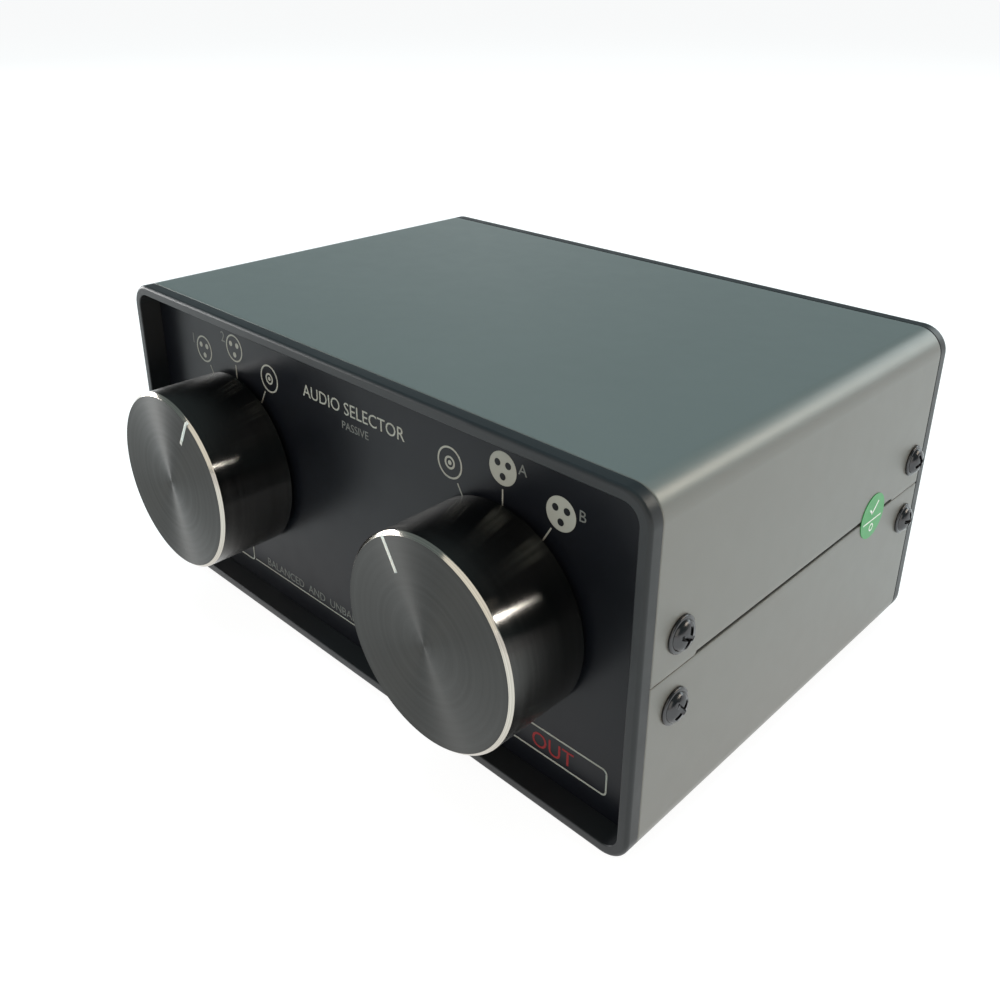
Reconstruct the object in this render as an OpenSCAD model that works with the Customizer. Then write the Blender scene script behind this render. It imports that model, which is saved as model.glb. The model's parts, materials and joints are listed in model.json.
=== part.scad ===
// Audio switch box: one knob picks an input and the other picks an output.
// +X is to the right seen from the front, +Y to the rear and +Z up, in millimetres.
// The origin is under the middle of the part, on the surface that it stands on.

/* [Case] */
// Width of the case across the two shells
case_w = 149; // [147:1:170]
// Height of the case without its feet
case_h = 70; // [69:1:85]
// Depth of the case from bezel to bezel
case_d = 103; // [98:1:130]
// Outer radius of the four long edges
corner_r = 5.5; // [4.5:0.5:9]
// Sheet thickness of the shells
shell_t = 1; // [0.8:0.1:1.3]
// Height of the side seam above mid height
seam_rise = 0.4; // [0:0.2:2]
// Gap between the shells where they meet
seam_gap = 0.1; // [0.05:0.05:0.2]
// Extra gap along the middle of the seam
seam_relief = 0.6; // [0.3:0.1:1]
// Length of the tight seam at each end
seam_land = 12; // [8:1:20]

/* [Bezels and panels] */
// Depth of the visible rim of a bezel
rim_d = 3; // [2.5:0.5:4]
// Width of the border round a panel
border_w = 2.2; // [2:0.1:3]
// How far the front panel lies behind the front edge
front_recess = 5; // [4.5:0.5:6]
// How far the rear panel lies inside the rear edge
rear_recess = 2; // [1:0.5:3]
// Width of the step that a panel seats on
panel_step = 0.5; // [0.4:0.1:0.6]
// Thickness of a panel
panel_t = 2; // [1.5:0.25:3]
// Reach of a screw lug towards the middle
lug_t = 3.8; // [3:0.2:4]
// Half height of a screw lug
lug_half_h = 3.6; // [3:0.2:4]
// Length of a sleeve and its lugs past the screws
lug_land = 5.2; // [3:0.2:8]
// Length of a snap rib behind a panel
rib_l = 20; // [10:1:24]
// Height of a snap rib
rib_h = 0.8; // [0.5:0.1:1.2]
// Thickness of a snap rib
rib_t = 1.2; // [0.8:0.1:2]

/* [Case screws] */
// Distance of the front screws behind the front panel
front_screw_gap = 3.05; // [2:0.05:4]
// Distance of the rear screws ahead of the rear panel
rear_screw_gap = 3.75; // [2:0.05:5]
// Distance between the screws above and below the seam
screw_pitch = 14; // [13:0.2:16]
// Radius of the screw thread
screw_r = 1.3; // [1:0.1:1.4]
// Length of the screw under its head
screw_l = 5.4; // [4:0.2:5.6]
// Radius of the screw head
screw_head_r = 3.4; // [3:0.1:3.8]
// Thickness of the flange of the head
screw_flange_t = 0.6; // [0.4:0.1:0.8]
// Height of the dome on the flange
screw_dome_h = 1.3; // [1:0.1:1.6]
// Width of the cross recess
cross_w = 0.9; // [0.6:0.1:1.1]
// Depth of the cross recess
cross_d = 0.9; // [0.6:0.1:1]

/* [Feet and sticker] */
// Height of a rubber foot
foot_h = 2; // [1.5:0.5:3]
// Radius of a rubber foot
foot_r = 5; // [4:0.5:7]
// Distance of a foot's middle from the sides
foot_inset = 17; // [13:1:25]
// Radius of the round sticker
sticker_r = 5; // [4:0.1:7]
// Thickness of the sticker
sticker_t = 0.15; // [0.1:0.05:0.3]
// Distance of the sticker from the rear edge
sticker_y = 24.5; // [20:0.5:60]
// Height of the sticker's middle above the seam
sticker_rise = 0.3; // [0:0.1:1]

/* [Knobs] */
// Distance of each knob axis from the side of the case
knob_side = 33.7; // [30:0.1:40]
// Diameter of a knob
knob_d = 40; // [32:0.5:46]
// Length of a knob
knob_l = 17.5; // [16:0.5:24]
// Gap between a knob and the pieces behind it
knob_gap = 1; // [0.9:0.1:1.2]
// Bright chamfer round the front face
knob_chamfer = 0.9; // [0.5:0.1:2]
// Small chamfer round the rear face
knob_rear_chamfer = 0.4; // [0.2:0.1:0.8]
// Turn between two neighbouring positions
step_angle = 30; // [30:30:60]
// Width of the pointer slot
pointer_w = 0.8; // [0.6:0.1:1.6]
// Length of the pointer slot from the rim
pointer_l = 7.2; // [4:0.1:9]
// Depth of the pointer slot
pointer_depth = 0.4; // [0.2:0.1:0.8]
// Radius of the grub screw
grub_r = 1.5; // [1.2:0.1:1.8]
// Length of the grub screw
grub_l = 6; // [4:0.5:8]

/* [Rotary switches] */
// Radius of a spindle
shaft_r = 3; // [2.5:0.25:3.25]
// Depth of the flat on a spindle
flat_depth = 1; // [0.5:0.1:1.2]
// Wall left in front of the spindle's end
knob_face_t = 4; // [3:0.25:5]
// Radius of the threaded bush
bush_r = 4.5; // [4:0.25:5]
// Length of the bush ahead of the panel
bush_out = 5.5; // [5:0.25:6.5]
// Radius of the bush flange inside the switch
bush_flange_r = 7; // [6:0.25:8]
// Thickness of the bush flange
bush_flange_t = 1.2; // [0.8:0.1:1.6]
// Width of the nut across its flats
nut_af = 12; // [11:0.25:13]
// Thickness of the nut
nut_t = 2.2; // [1.6:0.1:2.8]
// Radius of the lock washer
washer_r = 8; // [7.25:0.25:9]
// Thickness of the lock washer
washer_t = 0.6; // [0.4:0.1:0.6]
// Outer radius of the switch case
switch_r = 14; // [13.5:0.25:16]
// Length of a wiper behind the contact carrier
wiper_l = 4.2; // [2:0.2:6]
// Side wall of the switch case
switch_wall = 1.4; // [1:0.1:1.6]
// Front wall of the switch case
switch_front_t = 1.5; // [1:0.1:1.8]
// Thickness of the index wheel
wheel_t = 3; // [2.5:0.25:3.25]
// Gap between index wheel and index roller
wheel_gap = 0.35; // [0.3:0.05:0.5]
// Depth of the notches of the index wheel
notch_depth = 0.6; // [0.4:0.1:0.9]
// Radius of the index roller and of the notches
roller_r = 0.9; // [0.7:0.1:1.1]
// Thickness of the index spring
spring_t = 0.8; // [0.5:0.1:1]
// Thickness of the contact carrier
carrier_t = 3.5; // [2.5:0.25:4]
// Radius of a wiper bump
wiper_r = 1.2; // [0.8:0.1:1.5]
// Gap at each end of the rotor
rotor_gap = 0.3; // [0.3:0.05:0.5]
// Thickness of the contact plate
plate_t = 2; // [1.5:0.25:3]
// Poles of a switch
pole_count = 4; // [2:1:4]
// Positions of a switch
way_count = 3; // [2:1:3]
// Radius of a terminal
terminal_r = 0.5; // [0.4:0.05:0.6]
// Length of a terminal
terminal_l = 4; // [3:0.5:6]
// Spindle end behind the contact plate
shaft_tail = 0.8; // [0.4:0.1:1.5]

/* [Rear sockets] */
// Distance of the outer sockets from the border at the sides
side_edge = 4.5; // [2:0.1:5]
// Distance of a row of sockets from the border above or below it
row_edge = 2.5; // [0.5:0.1:3]
// Lip of a socket flange beside the body behind it
flange_lip = 0.6; // [0.4:0.1:1.2]
// Height of a socket flange
flange_h = 26.5; // [26:0.25:29]
// Thickness of a socket flange
flange_t = 1.6; // [1.2:0.1:2.4]
// Corner radius of a socket flange
flange_corner_r = 2.5; // [1:0.25:3]
// Wall of a socket outside its latch pocket
barrel_wall = 0.4; // [0.3:0.05:0.8]
// Length of a socket behind the panel's outer face
socket_l = 24; // [20:0.5:28]
// Radius of the insert that a plug's sleeve goes round
insert_r = 7.8; // [7.4:0.1:8.2]
// Width of the groove for a plug's sleeve
groove_w = 1.7; // [1.4:0.1:2]
// Depth of the groove and of the output cup
cup_d = 14; // [12:0.5:16]
// Radius of the output cup
cup_r = 8.2; // [8:0.05:8.4]
// Radius of the circle that the contacts lie on
contact_circle_r = 3.8; // [3.5:0.1:4.2]
// Radius of a contact pin
pin_r = 1.2; // [1:0.05:1.25]
// Distance of the pin tips from the socket's mouth
pin_setback = 4.7; // [4.5:0.1:6]
// Wall of a contact sleeve
contact_wall = 0.4; // [0.3:0.05:0.5]
// Distance of a contact sleeve from the mouth
contact_setback = 1; // [0.5:0.1:2]
// Width of the keyway in an output cup
keyway_w = 3; // [2:0.25:4]
// Depth of the keyway in an output cup
keyway_h = 1.2; // [0.8:0.1:1.6]
// Distance of a socket screw from the flange's edges
socket_screw_edge = 2.5; // [2.4:0.1:2.8]
// Radius of a socket screw
socket_screw_r = 1.45; // [1.2:0.05:1.5]
// Thread of a socket screw behind the panel
socket_screw_tail = 3; // [1:0.5:4]
// Radius of a socket screw's head
socket_head_r = 2.3; // [2.1:0.1:2.3]
// Height of a socket screw's head
socket_head_h = 1.5; // [1.2:0.1:2]

/* [Latches] */
// Width of a latch tab
latch_w = 5.2; // [4.5:0.1:5.8]
// Thickness of a latch tab
latch_t = 1.4; // [1.2:0.1:1.8]
// Width of the latch foot
latch_foot_w = 7; // [6.5:0.1:8]
// Length of the latch foot
latch_foot_l = 3; // [2:0.25:4]
// Depth of the narrow slot that guides the tab
latch_neck = 3.4; // [3:0.1:4]
// Length of the tab that stands out of the flange
latch_proud = 2.5; // [2.3:0.1:4]
// Travel of a latch
latch_travel = 2; // [1:0.1:2]
// Width of the hook under the foot
hook_w = 3; // [2:0.1:3]
// Reach of the hook into the groove
hook_h = 0.9; // [0.5:0.1:1.1]

/* [Phono sockets] */
// Wall of a phono block beside its screw
phono_block_side = 1.05; // [0.6:0.05:1.5]
// Wall of a phono block above and below its bosses
phono_block_top = 0.25; // [0.1:0.05:0.5]
// Depth of a phono block behind the panel
phono_block_d = 12; // [10:0.5:16]
// Distance between the two barrels of a block
phono_pitch = 13; // [12:0.1:14]
// Radius of the boss round a barrel
phono_boss_r = 5; // [4.8:0.05:5.2]
// Length of the boss outside the panel
phono_boss_out = 1.6; // [1:0.1:2.5]
// Outer radius of a barrel
phono_r = 4.15; // [4:0.05:4.25]
// Wall of a barrel
phono_wall = 0.55; // [0.4:0.05:0.7]
// Length of a barrel outside the panel
phono_out = 9.5; // [8:0.25:12]
// Length of a barrel inside the block
phono_in = 6; // [4:0.5:8]
// Step of the shoulder that seats a barrel on its boss
phono_shoulder = 0.2; // [0.1:0.05:0.3]
// Radius of the pin hole of a phono socket
phono_pin_r = 1.65; // [1.5:0.05:1.75]
// Wall of the centre contact
phono_contact_wall = 0.3; // [0.2:0.05:0.4]
// Setback of the insulator inside the barrel
phono_insulator_setback = 0.5; // [0.25:0.25:1.5]
// Setback of the centre contact inside the insulator
phono_contact_setback = 1.5; // [1:0.25:3]
// Gap between the head of the block screw and the bosses
phono_screw_gap = 0.9; // [0.4:0.1:1.5]
// Thread of the block screw inside the block
phono_screw_in = 6; // [4:0.5:9]
// Radius of a phono lead
lead_r = 0.5; // [0.4:0.05:0.6]
// Distance of the second lead beside the first
lead_gap = 4; // [3:0.25:5]

/* [Boards and ribbons] */
// Thickness of a circuit board
board_t = 1.6; // [1:0.1:2]
// Corner radius of a circuit board
board_corner_r = 2; // [1:0.5:3]
// Margin of the selector board round the switches
selector_margin = 4; // [1:0.5:6]
// Margin of the connector board round the socket middles
connector_margin = 11; // [9:0.5:11.5]
// Distance of each ribbon from the middle
ribbon_x = 24; // [20:1:40]
// Width of a ribbon
ribbon_w = 19; // [12:0.5:20]
// Thickness of a ribbon
ribbon_t = 0.9; // [0.7:0.1:1.2]
// Length of the straight legs of a hanging ribbon
ribbon_drop = 9; // [4:0.5:14]
// Width of a header
header_w = 25; // [24:0.5:30]
// Height of a header
header_h = 9; // [8:0.5:11]
// Depth of a header
header_d = 6; // [4:0.5:8]
// Width of a ribbon plug
plug_w = 21.5; // [21:0.25:23]
// Height of a ribbon plug
plug_h = 6; // [4:0.25:7]
// Depth of a ribbon plug
plug_d = 8; // [5:0.5:9]

/* [Fits] */
// Radial gap of a spindle that turns in its bush
run_fit = 0.05; // [0.03:0.01:0.08]
// Gap between pieces that are fixed together
seat_fit = 0.05; // [0.03:0.01:0.08]
// Gap between a shell and a bezel
shell_fit = 0.1; // [0.05:0.05:0.2]
// Gap round a latch in its slot
slide_gap = 0.3; // [0.3:0.02:0.34]

/* [Hidden] */
$fn = 48;
// Overshoot of a cut past the face that it opens
cut = 1;
// Shares of a screw head's radius: foot and top of its dome, and the reach of its cross
dome_foot = 0.82;
dome_top = 0.5;
cross_reach = 0.55;
mid_z = case_h / 2;
seam_z = mid_z + seam_rise;

// Outlines of the bezels, all measured in from the case's outside
sleeve_in = shell_t + shell_fit;
seat_in = border_w - panel_step;
panel_in = seat_in + seat_fit;
front_lug_y = front_recess + panel_t + seat_fit;
rear_lug_y = rear_recess + panel_t + seat_fit;
lug_top = case_w / 2 - seat_in;
front_screw_y = front_lug_y + front_screw_gap;
rear_screw_y = rear_lug_y + rear_screw_gap;

// Stations along Y, from the knobs to the phono barrels
knob_rear = front_recess - knob_gap;
knob_front = knob_rear - knob_l;
knob_r = knob_d / 2;
knob_spread = case_w / 2 - knob_side;
panel_back = front_recess + panel_t;
bush_front = front_recess - bush_out;
wheel_y = panel_back + switch_front_t + bush_flange_t + rotor_gap;
carrier_y = wheel_y + wheel_t;
plate_y = carrier_y + carrier_t + wiper_l + rotor_gap;
selector_y = plate_y + plate_t + terminal_l;
shaft_front = knob_front + knob_face_t;
shaft_rear = plate_y + plate_t + shaft_tail;
hub_rear = bush_front - knob_gap;
grub_y = (shaft_front + hub_rear) / 2;
rear_face = case_d - rear_recess;
rear_inner = rear_face - panel_t;
mouth_y = rear_face + flange_t;
socket_back = rear_face - socket_l;
connector_y = socket_back - board_t;
phono_back = rear_inner - phono_block_d;
phono_tip = rear_face + phono_out;
phono_seat = rear_face + phono_boss_out;
phono_insulator_tip = phono_tip - phono_insulator_setback;
phono_contact_tip = phono_insulator_tip - phono_contact_setback;
phono_root_r = phono_r - phono_shoulder;
mid_y = (knob_front + phono_tip) / 2;

// Radii inside a rotary switch
switch_bore_r = switch_r - switch_wall;
roller_at = switch_bore_r - seat_fit - spring_t / 4 - roller_r;
wheel_r = roller_at - roller_r - wheel_gap;
terminal_circle_r = switch_bore_r - terminal_r * 2;
common_circle_r = terminal_circle_r / 2;
nut_r = nut_af / 2 / cos(30);
counterbore_r = nut_r + knob_gap;

// Sizes of a three-pin socket, from its groove outwards
groove_r = insert_r + groove_w;
latch_z = groove_r;
pocket_half_w = latch_foot_w / 2 + slide_gap;
barrel_r = norm([pocket_half_w, latch_z + latch_t + slide_gap]) + barrel_wall;
flange_w = 2 * (barrel_r + flange_lip);
socket_screw_x = flange_w / 2 - socket_screw_edge;
socket_screw_z = flange_h / 2 - socket_screw_edge;

// Sizes of a phono block, from its two bosses outwards
phono_screw_reach = phono_boss_r + socket_head_r + phono_screw_gap;
phono_screw_x = sqrt(pow(phono_screw_reach, 2) - pow(phono_pitch / 2, 2));
phono_block_w = 2 * (phono_screw_x + socket_screw_r + phono_block_side);
phono_block_h = phono_pitch + 2 * (phono_boss_r + phono_block_top);

// Places on the rear panel: each row is spread between the side borders, with equal gaps
row_half_w = case_w / 2 - border_w - side_edge;
socket_gap = (2 * row_half_w - 4 * flange_w - phono_block_w) / 4;
socket_pitch = flange_w + socket_gap;
first_socket_x = flange_w / 2 - row_half_w;
phono_x = row_half_w - phono_block_w / 2;
output_z = border_w + row_edge + flange_h / 2;
input_z = case_h - output_z;
contact_angles = [-60, 60, 180];
contact_bore_r = pin_r + run_fit + contact_wall + seat_fit;
latch_rest = mouth_y - latch_neck - slide_gap;
latch_pocket = latch_foot_l + latch_travel + 2 * slide_gap;

function socket_x(i) = first_socket_x + i * socket_pitch;
function phono_z(z, up) = z + up * phono_pitch / 2;

// Moves what is drawn in the case's own frame, front edge at y = 0 and underside at z = 0,
// into the part's frame
module in_frame() {
    translate([0, -mid_y, foot_h]) children();
}

// Outline of the case drawn in by a margin on all sides
module case_outline(margin) {
    rounded_rect(case_w - 2 * margin, case_h - 2 * margin, corner_r - margin);
}

module rounded_rect(w, h, r) {
    square([w - 2 * r, h], center = true);
    square([w, h - 2 * r], center = true);
    for (sx = [-1, 1], sz = [-1, 1])
        translate([sx * (w / 2 - r), sz * (h / 2 - r)]) circle(r);
}

// Carries an outline in X and Z along Y, about a middle at (x, z)
module slab(x, z, y0, y1) {
    translate([x, y1, z]) rotate([90, 0, 0]) linear_extrude(y1 - y0) children();
}

module rod(x, z, y0, y1, r) {
    translate([x, y0, z]) rotate([-90, 0, 0]) cylinder(h = y1 - y0, r = r);
}

module tube(x, z, y0, y1, outer_r, inner_r) {
    difference() {
        rod(x, z, y0, y1, outer_r);
        rod(x, z, y0 - cut, y1 + cut, inner_r);
    }
}

// Box centred on x and z, from y0 to y1
module brick(x, z, y0, y1, w, h) {
    translate([x - w / 2, y0, z - h / 2]) cube([w, y1 - y0, h]);
}

// Screw along +Z with its seat at z = 0, its thread below and a cross recess in its head
module cross_screw(thread_r, thread_l, flange_r, flange_h, dome_h) {
    difference() {
        union() {
            translate([0, 0, -thread_l]) cylinder(h = thread_l + flange_h, r = thread_r);
            cylinder(h = flange_h, r = flange_r);
            translate([0, 0, flange_h])
                cylinder(h = dome_h, r1 = flange_r * dome_foot, r2 = flange_r * dome_top);
        }
        for (turn = [0, 90]) rotate([0, 0, turn])
            translate([-flange_r * cross_reach, -cross_w / 2, flange_h + dome_h - cross_d])
                cube([2 * flange_r * cross_reach, cross_w, cross_d + cut]);
    }
}

// Draws its children at every side screw, with +Z pointing out of the case
module at_case_screws() {
    for (side = [-1, 1], y = [front_screw_y, case_d - rear_screw_y], up = [-1, 1])
        translate([side * case_w / 2, y, seam_z + up * screw_pitch / 2])
            rotate([0, side * 90, 0]) children();
}

// Bezel with its outer edge at y = 0 and its sleeve towards +Y
module bezel(recess, lug_y, screw_y) {
    sleeve_end = screw_y + lug_land;
    difference() {
        union() {
            difference() {
                union() {
                    slab(0, mid_z, 0, rim_d) case_outline(0);
                    slab(0, mid_z, rim_d, sleeve_end) case_outline(sleeve_in);
                }
                slab(0, mid_z, -cut, recess + cut) case_outline(border_w);
                slab(0, mid_z, recess, sleeve_end + cut) case_outline(seat_in);
            }
            for (side = [-1, 1], up = [-1, 1])
                brick(side * (lug_top - lug_t / 2 + panel_step / 4), seam_z + up * screw_pitch / 2,
                    lug_y, sleeve_end, lug_t + panel_step / 2, 2 * lug_half_h);
            for (up = [-1, 1])
                brick(0, mid_z + up * (mid_z - seat_in - rib_h / 2 + panel_step / 4),
                    lug_y, lug_y + rib_t, rib_l, rib_h + panel_step / 2);
        }
        for (side = [-1, 1], up = [-1, 1])
            translate([side * (case_w / 2 + cut), screw_y, seam_z + up * screw_pitch / 2])
                rotate([0, -side * 90, 0])
                    cylinder(h = seat_in + lug_t + 2 * cut, r = screw_r + seat_fit);
    }
}

module front_bezel() {
    color("#1c1d1f") in_frame() bezel(front_recess, front_lug_y, front_screw_y);
}

module rear_bezel() {
    color("#1c1d1f") in_frame() translate([0, case_d, 0]) mirror([0, 1, 0])
        bezel(rear_recess, rear_lug_y, rear_screw_y);
}

module front_panel() {
    color("#15171b") in_frame() difference() {
        slab(0, mid_z, front_recess, panel_back) case_outline(panel_in);
        for (side = [-1, 1])
            rod(side * knob_spread, mid_z, front_recess - cut, panel_back + cut, bush_r + seat_fit);
    }
}

module rear_panel() {
    color("#15171b") in_frame() difference() {
        slab(0, mid_z, rear_inner, rear_face) case_outline(panel_in);
        for (i = [0:3], z = [input_z, output_z]) {
            rod(socket_x(i), z, rear_inner - cut, rear_face + cut, barrel_r + seat_fit);
            for (s = [-1, 1])
                rod(socket_x(i) - s * socket_screw_x, z + s * socket_screw_z,
                    rear_inner - cut, rear_face + cut, socket_screw_r + seat_fit);
        }
        for (z = [input_z, output_z]) {
            for (up = [-1, 1])
                rod(phono_x, phono_z(z, up), rear_inner - cut, rear_face + cut, phono_boss_r + seat_fit);
            rod(phono_x + phono_screw_x, z, rear_inner - cut, rear_face + cut, socket_screw_r + seat_fit);
        }
    }
}

// Bent sheet between the bezels, from the floor of the cut at z0 up to z1
module shell(z0, z1) {
    y0 = rim_d + shell_fit;
    y1 = case_d - rim_d - shell_fit;
    difference() {
        slab(0, 0, y0, y1) difference() {
            translate([0, mid_z]) case_outline(0);
            translate([0, mid_z]) case_outline(shell_t);
            translate([-case_w / 2 - cut, z0]) square([case_w + 2 * cut, z1 - z0]);
        }
        at_case_screws() translate([0, 0, -shell_t - cut])
            cylinder(h = shell_t + 2 * cut, r = screw_r + shell_fit);
    }
}

module upper_shell() {
    edge = seam_z + seam_gap / 2;
    relief_y0 = rim_d + shell_fit + seam_land;
    relief_y1 = case_d - rim_d - shell_fit - seam_land;
    color("#4d575a") in_frame() difference() {
        shell(-cut, edge);
        brick(0, edge, relief_y0, relief_y1, case_w + 2 * cut, 2 * seam_relief);
    }
}

module lower_shell() {
    color("#4d575a") in_frame() shell(seam_z - seam_gap / 2, case_h + cut);
}

module case_screws() {
    color("#3a3a3c") in_frame() at_case_screws()
        cross_screw(screw_r, screw_l, screw_head_r, screw_flange_t, screw_dome_h);
}

module rubber_feet() {
    color("#101010") in_frame()
        for (side = [-1, 1], y = [foot_inset, case_d - foot_inset])
            translate([side * (case_w / 2 - foot_inset), y, -foot_h]) cylinder(h = foot_h, r = foot_r);
}

module inspection_sticker() {
    color("#3fae5a") in_frame() translate([case_w / 2, case_d - sticker_y, seam_z + sticker_rise])
        rotate([0, 90, 0]) cylinder(h = sticker_t, r = sticker_r);
}

// Puts children on a knob's axis: local +Z points out of the front and +Y up, turned clockwise
module on_knob_axis(side, turn) {
    translate([side * knob_spread, 0, mid_z]) rotate([90, 0, 0]) rotate([0, 0, -turn]) children();
}

// A knob's pointer rests on the position nearest to the middle of the front
function rest_turn(side) = -side * step_angle;

module knob(side) {
    on_knob_axis(side, rest_turn(side)) difference() {
        translate([0, 0, -knob_rear]) rotate_extrude() polygon([
            [0, 0], [knob_r - knob_rear_chamfer, 0], [knob_r, knob_rear_chamfer],
            [knob_r, knob_l - knob_chamfer], [knob_r - knob_chamfer, knob_l], [0, knob_l]
        ]);
        translate([0, 0, -knob_rear - cut])
            cylinder(h = knob_rear - hub_rear + cut, r = counterbore_r);
        translate([0, 0, -knob_rear])
            cylinder(h = knob_rear - shaft_front + seat_fit, r = shaft_r + seat_fit);
        translate([-pointer_w / 2, knob_r - pointer_l, -knob_front - pointer_depth])
            cube([pointer_w, pointer_l + cut, pointer_depth + cut]);
        translate([0, 0, -grub_y]) rotate([90, 0, 0]) cylinder(h = knob_r + cut, r = grub_r + seat_fit);
    }
}

module input_knob() {
    color("#232325") in_frame() knob(-1);
}

module output_knob() {
    color("#232325") in_frame() knob(1);
}

module grub_screw(side) {
    socket_af = grub_r;
    seat_r = shaft_r - flat_depth + seat_fit;
    on_knob_axis(side, rest_turn(side)) translate([0, -seat_r, -grub_y]) rotate([90, 0, 0])
        difference() {
            cylinder(h = grub_l, r = grub_r);
            translate([0, 0, grub_l / 2])
                cylinder(h = grub_l / 2 + cut, r = socket_af / 2 / cos(30), $fn = 6);
        }
}

module input_grub_screw() {
    color("#2b2b2d") in_frame() grub_screw(-1);
}

module output_grub_screw() {
    color("#2b2b2d") in_frame() grub_screw(1);
}

module spindle(side) {
    flat_l = bush_front - shaft_front;
    on_knob_axis(side, rest_turn(side)) difference() {
        translate([0, 0, -shaft_rear]) cylinder(h = shaft_rear - shaft_front, r = shaft_r);
        translate([-shaft_r - cut, -shaft_r - cut, -shaft_front - flat_l])
            cube([2 * (shaft_r + cut), flat_depth + cut, flat_l + cut]);
    }
}

module input_spindle() {
    color("#b9b2a0") in_frame() spindle(-1);
}

module output_spindle() {
    color("#b9b2a0") in_frame() spindle(1);
}

module bush(side) {
    x = side * knob_spread;
    flange_y = panel_back + switch_front_t;
    difference() {
        union() {
            rod(x, mid_z, bush_front, flange_y + bush_flange_t, bush_r);
            rod(x, mid_z, flange_y, flange_y + bush_flange_t, bush_flange_r);
        }
        rod(x, mid_z, bush_front - cut, flange_y + bush_flange_t + cut, shaft_r + run_fit);
    }
}

module input_bush() {
    color("#c2a766") in_frame() bush(-1);
}

module output_bush() {
    color("#c2a766") in_frame() bush(1);
}

module bush_nuts() {
    nut_y = front_recess - washer_t;
    color("#b8b8b8") in_frame() for (side = [-1, 1]) difference() {
        translate([side * knob_spread, nut_y - nut_t, mid_z]) rotate([-90, 0, 0])
            cylinder(h = nut_t, r = nut_r, $fn = 6);
        rod(side * knob_spread, mid_z, nut_y - nut_t - cut, nut_y + cut, bush_r + seat_fit);
    }
}

module lock_washers() {
    color("#b8b8b8") in_frame() for (side = [-1, 1])
        tube(side * knob_spread, mid_z, front_recess - washer_t, front_recess, washer_r, bush_r + seat_fit);
}

module switch_case(side) {
    x = side * knob_spread;
    difference() {
        rod(x, mid_z, panel_back, plate_y, switch_r);
        rod(x, mid_z, panel_back + switch_front_t, plate_y + cut, switch_bore_r);
        rod(x, mid_z, panel_back - cut, plate_y, bush_r + seat_fit);
    }
}

module input_switch_case() {
    color("#8d8f91") in_frame() switch_case(-1);
}

module output_switch_case() {
    color("#8d8f91") in_frame() switch_case(1);
}

// Index wheel with a notch for every step, and the carrier with a wiper for every pole
module rotor(side) {
    carrier_end = carrier_y + carrier_t;
    on_knob_axis(side, rest_turn(side)) difference() {
        union() {
            translate([0, 0, -carrier_y]) difference() {
                cylinder(h = wheel_t, r = wheel_r);
                for (a = [0:30:330]) rotate([0, 0, a])
                    translate([0, wheel_r + roller_r - notch_depth, -cut])
                        cylinder(h = wheel_t + 2 * cut, r = roller_r, $fn = 24);
            }
            translate([0, 0, -carrier_end]) cylinder(h = carrier_t, r = wheel_r - notch_depth);
            for (i = [0:pole_count - 1]) rotate([0, 0, 45 + i * 360 / pole_count])
                translate([0, common_circle_r, -plate_y + rotor_gap])
                    cylinder(h = plate_y - rotor_gap - carrier_y, r = wiper_r, $fn = 24);
        }
        translate([0, 0, -plate_y]) cylinder(h = plate_y, r = shaft_r + seat_fit);
    }
}

module input_rotor() {
    color("#c9c4b4") in_frame() rotor(-1);
}

module output_rotor() {
    color("#c9c4b4") in_frame() rotor(1);
}

// Curved leaf inside the switch case with a roller over the top notch
module index_spring(side) {
    leaf_angle = 70;
    outer_r = switch_bore_r - seat_fit;
    on_knob_axis(side, 0) translate([0, 0, -carrier_y + seat_fit]) {
        rotate([0, 0, 90 - leaf_angle / 2]) rotate_extrude(angle = leaf_angle)
            translate([outer_r - spring_t, 0]) square([spring_t, wheel_t - 2 * seat_fit]);
        translate([0, roller_at, 0]) cylinder(h = wheel_t - 2 * seat_fit, r = roller_r, $fn = 24);
    }
}

module input_index_spring() {
    color("#a9a9ad") in_frame() index_spring(-1);
}

module output_index_spring() {
    color("#a9a9ad") in_frame() index_spring(1);
}

module contact_plates() {
    color("#7a5b35") in_frame() for (side = [-1, 1])
        tube(side * knob_spread, mid_z, plate_y, plate_y + plate_t, switch_r, shaft_r + run_fit);
}

// One terminal for every way on the outer circle and one common for every pole inside it
module terminals(side) {
    outer_count = pole_count * way_count;
    for (i = [0:outer_count - 1])
        terminal(side, terminal_circle_r, (i + 0.5) * 360 / outer_count);
    for (i = [0:pole_count - 1])
        terminal(side, common_circle_r, (i + 0.5) * 360 / pole_count);
}

module terminal(side, circle_r, angle) {
    rod(side * knob_spread + circle_r * sin(angle), mid_z + circle_r * cos(angle),
        plate_y + plate_t, selector_y, terminal_r);
}

module switch_terminals() {
    color("#d2cbb8") in_frame() for (side = [-1, 1]) terminals(side);
}

module selector_board() {
    color("#1f5a3a") in_frame() slab(0, mid_z, selector_y, selector_y + board_t)
        rounded_rect(2 * (knob_spread + switch_r + selector_margin),
            2 * (switch_r + selector_margin), board_corner_r);
}

module connector_board() {
    color("#1f5a3a") in_frame() slab(0, mid_z, connector_y, socket_back)
        rounded_rect(2 * (row_half_w - flange_w / 2 + connector_margin),
            input_z - output_z + 2 * connector_margin, board_corner_r);
}

// Draws its children in front of both boards for each ribbon, with +Y away from the board
module at_ribbon_ends() {
    for (x = [-ribbon_x, ribbon_x]) {
        translate([x, selector_y + board_t, mid_z]) children();
        translate([x, connector_y, mid_z]) mirror([0, 1, 0]) children();
    }
}

module board_headers() {
    color("#26262a") in_frame() at_ribbon_ends() brick(0, 0, 0, header_d, header_w, header_h);
}

module ribbon_plugs() {
    color("#3a3a40") in_frame() at_ribbon_ends()
        brick(0, 0, header_d, header_d + plug_d, plug_w, plug_h);
}

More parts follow.
